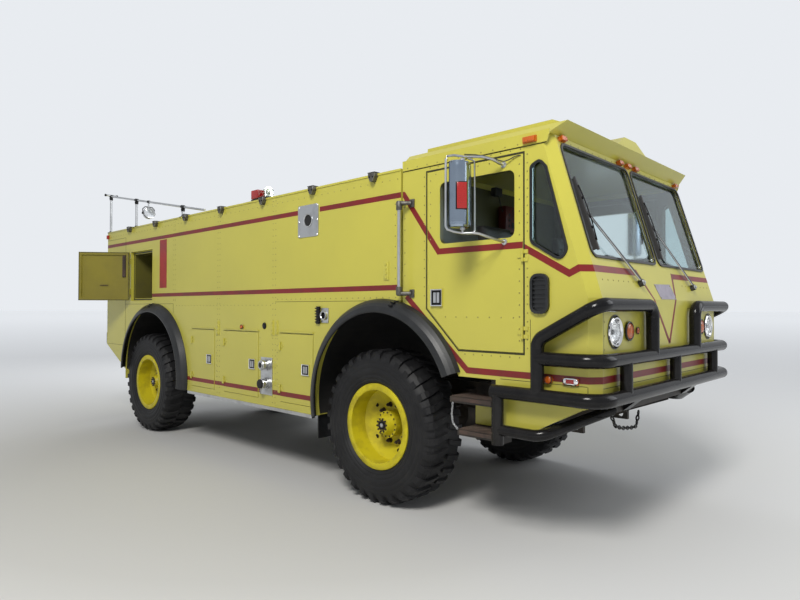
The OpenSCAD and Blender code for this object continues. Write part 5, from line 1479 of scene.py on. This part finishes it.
# %% Beacons and rear corner lamps
BEACON_X, BEACON_Y, BEACON_Z = 0.450, -1.100, 2.919
beacon_at = (BEACON_X, BEACON_Y, BEACON_Z)
beacon_clear = glass_of("beacon_clear", (0.86, 0.92, 0.84), 0.04)
bm = bmesh.new()
add_box(bm, (0.2530, -1.1990, 2.9200), (0.3830, -1.1010, 3.0195), 0.010, 3)
for k in range(7):
    x = 0.265 + k * 0.0175
    add_box(bm, (x, -1.2000, 2.928), (x + 0.009, -1.1000, 3.0135), 0.0015, 1)
red_beacon = make_piece("beacon_red", bm, lamp_red, smooth=35)
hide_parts("roof_beacon")
dome = [(0.0525, 0.006), (0.0540, 0.060), (0.0510, 0.090), (0.0380, 0.118), (0.0200, 0.131), (0.0005, 0.1345)]
turned_piece("beacon_dome", dome + [(max(0.0005, r - 0.0035), h - 0.003) for r, h in reversed(dome)],
             beacon_at, UP, 40, beacon_clear, smooth=45)
bm = bmesh.new()
add_turned(bm, [(0.0005, 0.001), (0.0560, 0.001), (0.0580, 0.004), (0.0580, 0.016), (0.0545, 0.018),
                (0.0535, 0.006)],
           beacon_at, UP, 40)
for z in (2.962, 3.010):
    add_turned(bm, [(0.0535, 0.0), (0.0560, 0.0006), (0.0560, 0.0050), (0.0535, 0.0055), (0.0535, 0.0)],
               (BEACON_X, BEACON_Y, z), UP, 40)
add_box(bm, (0.2440, -1.1930, 2.8800), (0.5250, -1.1070, BEACON_Z), 0.004, 2)
make_piece("beacon_base", bm, guard_black, smooth=35)
# Inside the clear dome stand the lamp and its turning mirror
bm = bmesh.new()
add_turned(bm, [(0.0005, 0.018), (0.030, 0.018), (0.030, 0.030), (0.010, 0.036), (0.010, 0.052), (0.016, 0.060),
                (0.016, 0.080), (0.0005, 0.088)], beacon_at, UP, 20)
add_turned(bm, [(0.0005, 0.0), (0.020, 0.004), (0.033, 0.016), (0.0345, 0.015), (0.021, 0.0025),
                (0.0005, -0.0015)],
           (0.432, BEACON_Y, 2.988), (1, 0, 0.1), 20)
make_piece("beacon_lamp", bm, lamp_chrome, smooth=40)
for side, s in SIDES.items():
    lens_block(f"rear_corner_lamp_{side}", on_side(s), -3.652, 2.806, 0.050, 0.060, 0.0004, 0.026, lamp_red, 3)

# %% [markdown]
# ## The body's roof edge
# The hooks along the top edge are bent plate: each has a lip, two bolts and a stiffening rib. Their
# places are read from the CAD part.

# %% Hook dressing and roof edge
galvanised = finish_of("galvanised", (0.150, 0.145, 0.130), 0.50, metallic=0.7, second=(0.085, 0.080, 0.070),
                       mottle=(30.0, 0.4, 0.6), dust=0.2, fine=(260.0, 0.2))
HOOK_MID, HOOK_TOP = 2.851, 2.890
HOOK_OUTLINE = [(-0.0405, 2.8908), (0.0405, 2.8908), (0.0405, 2.8575), (0.0165, 2.8132), (-0.0165, 2.8132),
                (-0.0405, 2.8575)]
hooks = []
top_edge = [v.co.x for v in node["body_trim"].data.vertices
            if abs(v.co.z - HOOK_TOP) < 0.002 and v.co.y < -HALF_W]
for x in sorted(top_edge):
    if not hooks or x - hooks[-1][-1] > 0.12:
        hooks.append([])
    hooks[-1].append(x)
hook_x = [(found[0] + found[-1]) / 2 for found in hooks]
print("hooks at", [round(x, 3) for x in hook_x])
for side, s in SIDES.items():
    skin = on_side(s)
    bm, lip, skins = bmesh.new(), bmesh.new(), bmesh.new()
    for x in hook_x:
        extrude_through(skins, [[skin(x + dx * k, HOOK_MID + (z - HOOK_MID) * k, out) for dx, z in HOOK_OUTLINE]
                                for k, out in ((1.0, 0.0002), (1.0, 0.0440), (0.93, 0.0468))])
        for dx in (-0.020, 0.020):
            add_rod(bm, skin(x + dx, 2.852, 0.0455), skin(x + dx, 2.852, 0.0520), 0.0075, 6)
        add_box(bm, skin(x - 0.045, 2.8885, -0.020), skin(x + 0.045, 2.8935, 0.050), 0.0015, 1)
    make_piece(f"hook_bolts_{side}", bm, guard_black, smooth=30)
    make_piece(f"hook_skins_{side}", skins, galvanised, smooth=25)
    add_box(lip, skin(BODY_REAR, 2.8775, -0.034), skin(BODY_FRONT, 2.8835, 0.0075), 0.002)
    add_box(lip, skin(BODY_REAR, 2.8640, 0.0002), skin(BODY_FRONT, 2.8800, 0.0070), 0.002)
    make_piece(f"roof_edge_{side}", lip, lime_paint, smooth=35)

# %% [markdown]
# ## The open high door
# The door is a pan with folded edges, a dull olive inside that carries painted shade, and a stay rod by its
# hinge. The space behind it has a darker olive, more painted shade, with ribs at its back and a dark seal round
# its mouth.

# %% Olive linings and painted shade
# Olive inside paint, darkened as painted shade on the open door's inner face
olive_paint_and_shade = finish_of("olive_paint_and_shade", (0.215, 0.180, 0.006), 0.45, second=(0.170, 0.140, 0.006),
                        mottle=(2.0, 0.35, 0.7), dust=0.10, dust_top=3.0, fine=(350.0, 0.03))
# A darker olive for the insides of the lockers: painted shade in the recess
inner_olive_and_shade = finish_of("inner_olive_and_shade", (0.100, 0.090, 0.008), 0.6, second=(0.070, 0.062, 0.008),
                        mottle=(3.0, 0.35, 0.7), dust=0.12, dust_top=3.0, fine=(350.0, 0.03))


def box_lining(bm, low, high, open_side, t=0.001):
    """Thin sheets on the five inner walls of a space whose mouth is at its outer side."""
    (x0, y0, z0), (x1, y1, z1) = low, high
    back = y1 - t if open_side < 0 else y0
    for a, b in (((x0, y0, z0), (x1, y1, z0 + t)), ((x0, y0, z1 - t), (x1, y1, z1)),
                 ((x0, y0, z0), (x0 + t, y1, z1)),
                 ((x1 - t, y0, z0), (x1, y1, z1)), ((x0, back, z0), (x1, back + t, z1))):
        add_box(bm, a, b)


def ring_boxes(bm, place, x, z, edge, width, off, deep, bevel=0.001):
    """Four bars that frame a rectangle (x, z) on a surface, moved inwards by edge."""
    (x0, x1), (z0, z1) = [(a + edge, b - edge) for a, b in (x, z)]
    for u0, u1, v0, v1 in ((x0, x1, z0, z0 + width), (x0, x1, z1 - width, z1),
                           (x0, x0 + width, z0 + width, z1 - width),
                           (x1 - width, x1, z0 + width, z1 - width)):
        add_box(bm, place(u0, v0, off), place(u1, v1, off + deep), bevel, 1)


for side, s in SIDES.items():
    lining, seal = bmesh.new(), bmesh.new()
    y0, y1 = sorted((s * (HALF_W - 0.0465), s * (HALF_W - 0.5196)))
    for x, z in [(x, LOCKER_Z) for x in LOCKERS] + [(HIGH_DOOR, HIGH_Z)]:
        box_lining(lining, (x[0] + 0.0304, y0, z[0] + 0.0304), (x[1] - 0.0304, y1, z[1] - 0.0304), s)
        ring_boxes(seal, on_side(s), x, z, 0.006, 0.016, -0.0446, 0.0050)
    # Ribs on the high locker's back and a shelf lip
    for k in range(7):
        z = HIGH_Z[0] + 0.10 + k * 0.082
        add_box(lining, (HIGH_DOOR[0] + 0.05, s * (HALF_W - 0.519), z),
                (HIGH_DOOR[1] - 0.05, s * (HALF_W - 0.507), z + 0.030), 0.004, 1)
        add_box(lining, (HIGH_DOOR[1] - 0.042, s * (HALF_W - 0.060), z),
                (HIGH_DOOR[1] - 0.0315, s * (HALF_W - 0.500), z + 0.022), 0.003, 1)
    make_piece(f"locker_linings_{side}", lining, inner_olive_and_shade)
    make_piece(f"locker_seals_{side}", seal, trim_rubber)

# %% [markdown]
# Every door is lined as if it were shut. The pieces of the open one are then turned about its
# hinge.

# %% Linings of the doors
OPEN_TURN = math.radians(130)
for side, s in SIDES.items():
    skin = on_side(s)
    pans = [(f"locker_door_{side}_{i}", x, LOCKER_Z, 0.0) for i, x in enumerate(LOCKERS, 1)]
    for body, x, z, angle in pans + [(f"high_door_{side}", HIGH_DOOR, HIGH_Z, OPEN_TURN if s < 0 else 0.0)]:
        (x0, x1), (z0, z1) = x, z
        pivot = Vector((x0, s * (HALF_W + 0.014), 0))
        swing = Matrix.Translation(pivot) @ Matrix.Rotation(s * angle, 4, "Z") @ Matrix.Translation(-pivot)
        pan, edge, stay = bmesh.new(), bmesh.new(), bmesh.new()
        add_box(pan, (x0 + 0.0404, s * (HALF_W - 0.0103), z0 + 0.0404),
                (x1 - 0.0404, s * (HALF_W - 0.0115), z1 - 0.0404))
        ring_boxes(pan, skin, x, z, 0.004, 0.036, -0.0332, 0.0011, 0.0)
        ring_boxes(edge, skin, x, z, 0.002, 0.009, -0.0345, 0.0024, 0.0)
        if body.startswith("high"):
            inner, deeper, middle = s * (HALF_W - 0.012), s * (HALF_W - 0.030), (x0 + x1) / 2
            add_box(stay, (x0 + 0.050, inner, z1 - 0.360), (x0 + 0.096, deeper, z1 - 0.046), 0.003, 1)
            add_box(stay, (middle - 0.055, inner, z0 + 0.215), (middle + 0.055, deeper, z0 + 0.223), 0.001, 1)
            add_rod(stay, (x0 + 0.073, deeper, z1 - 0.30), (x0 + 0.073, deeper, z1 - 0.06), 0.0055, 8)
        for bm in (pan, edge, stay):
            bmesh.ops.transform(bm, matrix=swing, verts=bm.verts[:])
        make_piece(f"pan_{body}", pan, olive_paint_and_shade, body)
        make_piece(f"pan_edge_{body}", edge, joint_and_shadow_line, body)
        if stay.verts:
            make_piece(f"stay_{body}", stay, tread_rust, body, smooth=35)
        else:
            stay.free()

# %% [markdown]
# ## Castings, chain and roof edge
# The grab rails end in cast sockets with a foot on the cab. A short chain hangs under the front
# beam. A folded plate covers the joint between the cab's wall and its roof, and the front carries
# one small blank plate.

# %% Grab rail castings
GRAB_X, GRAB_Y = 2.660, HALF_W + 0.075
for side, s in SIDES.items():
    skin = on_side(s)
    bm = bmesh.new()
    for z, turn in ((2.574, 1), (1.830, -1)):
        # Socket round the tube's end
        add_turned(bm, [(0.0165, -0.052), (0.0250, -0.052), (0.0265, -0.046), (0.0265, 0.010), (0.0200, 0.022),
                        (0.0005, 0.026)], (GRAB_X, s * GRAB_Y, z - turn * 0.004), (0, 0, turn), 20)
        # Arm to the wall, and its foot with two screws
        add_tube(bm, [(GRAB_X, s * GRAB_Y, z), (2.688, s * (GRAB_Y - 0.012), z), skin(2.738, z, 0.018)],
                 0.0175, 12)
        add_box(bm, skin(2.716, z - 0.034, 0.0004), skin(2.766, z + 0.034, 0.012), 0.004)
        for dz in (-0.023, 0.023):
            add_rod(bm, skin(2.741, z + dz, 0.011), skin(2.741, z + dz, 0.017), 0.0065, 6)
    make_piece(f"rail_castings_{side}", bm, galvanised, smooth=35)

# %% [markdown]
# The chain's links are real rings. The folded plate has a row of rivets and a painted shadow, a dark line,
# under its lower edge.

# %% Chain and roof edge
CAB_REAR = 2.6325
bm = bmesh.new()
CHAIN = [(-0.960, 0.975), (-0.900, 0.905), (-0.800, 0.878), (-0.640, 0.858), (-0.560, 0.856), (-0.540, 0.880),
         (-0.505, 0.962)]
add_link_chain(bm, [(4.300, y, z) for y, z in CHAIN], 0.0060, 0.034, 7)
make_piece("front_chain", bm, guard_black, smooth=50)
for side, s in SIDES.items():
    skin = on_side(s)
    bm, dots = bmesh.new(), bmesh.new()
    # Plate from the cab's rear to the brow, with its lower edge turned out a little
    outline = [(CAB_REAR, 2.852), (3.800, 2.852), (3.980, 2.852), (4.000, 2.906), (4.004, 2.934),
               (CAB_REAR, 2.934)]
    extrude_through(bm, [[skin(x, z, out) for x, z in outline] for out in (0.0004, 0.0058)])
    add_box(bm, skin(CAB_REAR, 2.8495, 0.0004), skin(3.980, 2.8535, 0.0095), 0.001, 1)
    make_piece(f"roof_plate_{side}", bm, lime_paint, smooth=30)
    rivet_row(dots, skin, (2.66, 2.868), (3.78, 2.868), pitch=0.105, off=0.0058)
    make_piece(f"roof_plate_rivets_{side}", dots, rivet_painted_shade, recalc=False)
    # A painted shadow under the plate's lower edge
    bm = bmesh.new()
    lay_band(bm, skin, mitred([(2.634, 2.8465), (3.978, 2.8465)], 0.006), 0.0008)
    make_piece(f"roof_plate_shadow_{side}", bm, joint_and_shadow_line)

# %% [markdown]
# The plate is bare metal with a rivet in each corner, and nothing is written on it.

# %% Blank plate on the front
plate_grey = finish_of("plate_grey", (0.330, 0.300, 0.350), 0.45, metallic=0.4, second=(0.260, 0.240, 0.285),
                       mottle=(16.0, 0.35, 0.65), dust=0.15, fine=(200.0, 0.1))
bm, dots = bmesh.new(), bmesh.new()
corners = [(-0.203, 1.896), (0.135, 1.904), (0.190, 1.784), (-0.142, 1.782)]
extrude_through(bm, [[on_face(y, z, out) for y, z in corners] for out in (0.0009, 0.0029)])
make_piece("front_plate", bm, plate_grey)
for y, z in ((-0.188, 1.884), (0.122, 1.891), (0.172, 1.796), (-0.132, 1.794)):
    add_rivet(dots, on_face(y, z, 0.0029), on_face(y, z, 0.02) - on_face(y, z, 0.0), 0.006)
make_piece("front_plate_rivets", dots, rivet_painted_shade, recalc=False)

# %% [markdown]
# A dark rubber pad protects each lower rear corner.

# %% Rear corner pads
for side, s in SIDES.items():
    bm = bmesh.new()
    add_box(bm, (-3.742, s * (HALF_W - 0.100), 1.160), (-3.6845, s * (HALF_W - 0.012), 1.330), 0.008)
    make_piece(f"corner_pad_{side}", bm, trim_rubber, smooth=35)

# %% [markdown]
# ## Seats
# Each cushion starts as a plain block a little smaller than its CAD solid, remeshed to even faces.
# Cloth under air pressure swells it for twenty frames, and no point may move further than a cap.
# Sewn channels are pressed in afterwards, and piping is laid on the swollen surface.

# %% Cushion helpers
PIPING = finish_of("seat_piping", (0.020, 0.019, 0.019), 0.42, dust=0.08, dust_top=3.0, fine=(700.0, 0.1))
CLOTH_FRAMES, PRESSURE, VOXEL = 20, 4.0, 0.009


def baked(made):
    """The mesh of an object with its modifiers worked in."""
    return bpy.data.meshes.new_from_object(made.evaluated_get(bpy.context.evaluated_depsgraph_get()))


def cushion(title, outline, half, cap):
    """A block of (x, z) outline and half width, swollen by cloth; returns its mesh."""
    bm = bmesh.new()
    base = bm.faces.new([bm.verts.new((x, -half, z)) for x, z in outline])
    grown = bmesh.ops.extrude_face_region(bm, geom=[base])["geom"]
    bmesh.ops.translate(bm, vec=(0, 2 * half, 0), verts=verts_of(grown))
    bmesh.ops.bevel(bm, geom=bm.edges[:], offset=0.022, segments=3, profile=0.5, affect="EDGES")
    bmesh.ops.recalc_face_normals(bm, faces=bm.faces)
    data = bpy.data.meshes.new(title)
    bm.to_mesh(data)
    bm.free()
    made = bpy.data.objects.new(title, data)
    bpy.context.scene.collection.objects.link(made)
    even = made.modifiers.new("even", "REMESH")
    even.mode, even.voxel_size = "VOXEL", VOXEL
    made.data = baked(made)
    made.modifiers.clear()
    start = [v.co.copy() for v in made.data.vertices]
    air = made.modifiers.new("air", "CLOTH")
    air.settings.use_pressure = True
    air.settings.uniform_pressure_force = PRESSURE
    air.settings.effector_weights.gravity = 0.0
    air.point_cache.frame_start, air.point_cache.frame_end = 1, CLOTH_FRAMES
    for frame_number in range(1, CLOTH_FRAMES + 1):
        bpy.context.scene.frame_set(frame_number)
    made.data = baked(made)
    made.modifiers.clear()
    middle = sum(start, Vector()) / len(start)
    shift = sum((v.co for v in made.data.vertices), Vector()) / len(start) - middle
    for v, was in zip(made.data.vertices, start):
        move = v.co - shift - was
        v.co = was + move.normalized() * min(cap, move.length) if move.length else was
    mesh = made.data
    bpy.data.objects.remove(made)
    return mesh


def press_channels(mesh, axis, lines, direction, deep=0.007, wide=0.010):
    """Presses sewn channels into a cushion at places along an axis."""
    towards = Vector(direction)
    for v in mesh.vertices:
        if v.normal.dot(towards) > 0.2:
            for where in lines:
                v.co -= towards * deep * math.exp(-(((v.co[axis] - where) / wide) ** 2))


def laid_on(mesh, points, out=0.001):
    """Each point moved to the nearest place on a mesh."""
    tree = BVHTree.FromPolygons([v.co for v in mesh.vertices], [p.vertices for p in mesh.polygons])
    found = [tree.find_nearest(p) for p in points]
    return [place + normal * out for place, normal, _, _ in found]


def round_loop(a0, a1, b0, b1, r=0.04, steps=5):
    """2D points round a rectangle with rounded corners."""
    made = []
    for ca, cb, turn in ((a1 - r, b1 - r, 0), (a0 + r, b1 - r, 90), (a0 + r, b0 + r, 180),
                         (a1 - r, b0 + r, 270)):
        for k in range(steps + 1):
            t = math.radians(turn + 90 * k / steps)
            made.append((ca + r * math.cos(t), cb + r * math.sin(t)))
    dense = []
    for (p, q), (u, w) in zip(made, made[1:] + made[:1]):
        n = max(1, round(math.hypot(u - p, w - q) / 0.03))
        dense += [(p + (u - p) * k / n, q + (w - q) * k / n) for k in range(n)]
    return dense


# %% [markdown]
# One cushion and one backrest are made, and both are placed on the two seats with their piping and
# a stand.

# %% Seats
low_mesh = cushion("seat_low", [(3.134, 1.664), (3.626, 1.664), (3.626, 1.786), (3.134, 1.786)], 0.226, 0.013)
press_channels(low_mesh, 1, (-0.075, 0.075), (0, 0, 1))
back_mesh = cushion("seat_back", [(3.136, 1.812), (3.228, 1.812), (3.149, 2.408), (3.070, 2.408)], 0.217, 0.010)
press_channels(back_mesh, 2, (1.96, 2.12, 2.28), (0.99, 0, 0.13))
low_loop = laid_on(low_mesh, [Vector((x, y, 1.781)) for x, y in round_loop(3.128, 3.632, -0.232, 0.232)])
back_loop = laid_on(back_mesh, [Vector((3.228 - (z - 1.812) * 0.1325, y, z)) for z, y in
                                round_loop(1.812, 2.408, -0.222, 0.222)])
for side, y in (("right", -0.620), ("left", 0.620)):
    for title, mesh, loop in (("seat_cushion", low_mesh, low_loop), ("seat_backrest", back_mesh, back_loop)):
        bm = bmesh.new()
        bm.from_mesh(mesh)
        bmesh.ops.translate(bm, vec=(0, y, 0), verts=bm.verts)
        pad = make_piece(f"{title}_{side}", bm, seat_vinyl, smooth=60)
        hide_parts("seats")
        bm = bmesh.new()
        add_tube(bm, [p + Vector((0, y, 0)) for p in loop], 0.0035, 6, closed=True)
        make_piece(f"{title}_piping_{side}", bm, PIPING, smooth=60)
    bm = bmesh.new()
    add_box(bm, (3.330, y - 0.160, 1.4003), (3.560, y + 0.160, 1.638), 0.008)
    add_box(bm, (3.150, y - 0.215, 1.636), (3.610, y + 0.215, 1.655), 0.004)
    for edge_y in (y - 0.165, y + 0.165):
        add_tube(bm, [(3.200, edge_y, 1.648), (3.128, edge_y, 1.700), (3.122, edge_y, 1.900)], 0.011, 10)
    stand = make_piece(f"seat_stand_{side}", bm, cab_black, smooth=40)
    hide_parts("seats")

# %% [markdown]
# ## Things inside the cab
# Through the open right window the photograph shows a dark red box on the rear wall, with black
# controls beside it and the cord of a handset above it.

# %% Cab fittings
WALL_X, BOX_FACE = 2.7015, 2.789
box_red = finish_of("box_red", (0.105, 0.006, 0.005), 0.42, dust=0.08, dust_top=3.2, fine=(300.0, 0.05))
bm = bmesh.new()
add_box(bm, (WALL_X, 0.045, 2.455), (2.790, 0.265, 2.715), 0.010)
make_piece("red_box", bm, box_red, smooth=40)
bm = bmesh.new()
for z in (2.520, 2.575, 2.630):
    add_rod(bm, (BOX_FACE, 0.110, z), (2.796, 0.110, z), 0.014, 16)
add_box(bm, (BOX_FACE, 0.150, 2.500), (2.794, 0.235, 2.560), 0.001, 1)
for k in range(9):
    add_box(bm, (BOX_FACE, 0.155, 2.590 + 0.011 * k), (2.793, 0.230, 2.594 + 0.011 * k))
add_box(bm, (WALL_X, -0.080, 2.800), (2.765, 0.030, 2.880), 0.008)
add_tube(bm, [(2.760, -0.030, 2.800), (2.790, -0.045, 2.720), (2.775, 0.010, 2.650), (2.740, 0.090, 2.700)],
         0.006, 8)
make_piece("cab_controls", bm, cab_black, smooth=40)

# %% [markdown]
# ## The studio
# A plain pale floor that glows a little more far away, so that it meets the sky without a hard
# line. The camera sees a bright plain surround, reflections see a dimmer one, and large soft lamps
# give most of the light, so that colours come out about as they are written.

# %% Floor, world and lamps
SKY = (0.88, 0.91, 0.95, 1)
SEEN, REFLECTED, AROUND, GLOW = 0.92, 0.58, 0.31, 0.555
floor_mesh = bmesh.new()
bmesh.ops.create_grid(floor_mesh, x_segments=1, y_segments=1, size=400)
floor_data = bpy.data.meshes.new("floor")
floor_mesh.to_mesh(floor_data)
floor_mesh.free()
floor = bpy.data.objects.new("floor", floor_data)
bpy.context.scene.collection.objects.link(floor)
floor_finish, floor_tree, floor_shader = new_material("studio_floor")
far = floor_tree.nodes.new("ShaderNodeVectorMath")
far.operation = "LENGTH"
floor_tree.links.new(floor_tree.nodes.new("ShaderNodeTexCoord").outputs["Object"], far.inputs[0])
nearness = math_node(floor_tree, "DIVIDE", 1.0, math_node(floor_tree, "ADD", far.outputs["Value"], 7.8))
away = spread(floor_tree, nearness, 0.085, 0.0095)
pale = blend_colour(floor_tree, away, (0.60, 0.60, 0.59, 1), (0.96, 0.97, 0.98, 1))
floor_tree.links.new(pale, floor_shader.inputs["Base Color"])
floor_tree.links.new(math_node(floor_tree, "MULTIPLY", away, GLOW), floor_shader.inputs["Emission Strength"])
set_inputs(floor_shader, Roughness=0.9, Emission_Color=SKY)
floor_data.materials.append(floor_finish)

world = bpy.data.worlds.new("studio")
bpy.context.scene.world = world
world.use_nodes = True
sky = world.node_tree
back = sky.nodes["Background"]
set_inputs(back, Color=SKY)
path = sky.nodes.new("ShaderNodeLightPath")
seen = math_node(sky, "MAXIMUM", path.outputs["Is Camera Ray"], path.outputs["Is Transmission Ray"])
strength = math_node(sky, "MAXIMUM", spread(sky, seen, 0.0, 1.0, AROUND, SEEN),
                     math_node(sky, "MULTIPLY", path.outputs["Is Glossy Ray"], REFLECTED))
sky.links.new(strength, back.inputs["Strength"])


def lamp(title, at, towards, size, power, colour):
    """A square area lamp at a place, turned towards another."""
    light = bpy.data.lights.new(title, "AREA")
    light.shape, light.size, light.energy, light.color = "SQUARE", size, power, colour
    made = bpy.data.objects.new(title, light)
    made.location = at
    made.rotation_euler = (Vector(towards) - Vector(at)).to_track_quat("-Z", "Y").to_euler()
    bpy.context.scene.collection.objects.link(made)


lamp("key", (7.0, -9.0, 10.0), (0.5, 0, 1.2), 3.4, 1340, (1.0, 0.98, 0.94))
lamp("fill", (10.0, 5.0, 6.0), (2.0, 0, 1.4), 6.0, 300, (0.93, 0.96, 1.0))
lamp("rim", (-9.0, 6.0, 8.0), (0, 0, 1.5), 6.0, 440, (0.95, 0.97, 1.0))
bpy.context.scene.view_settings.view_transform = "Standard"
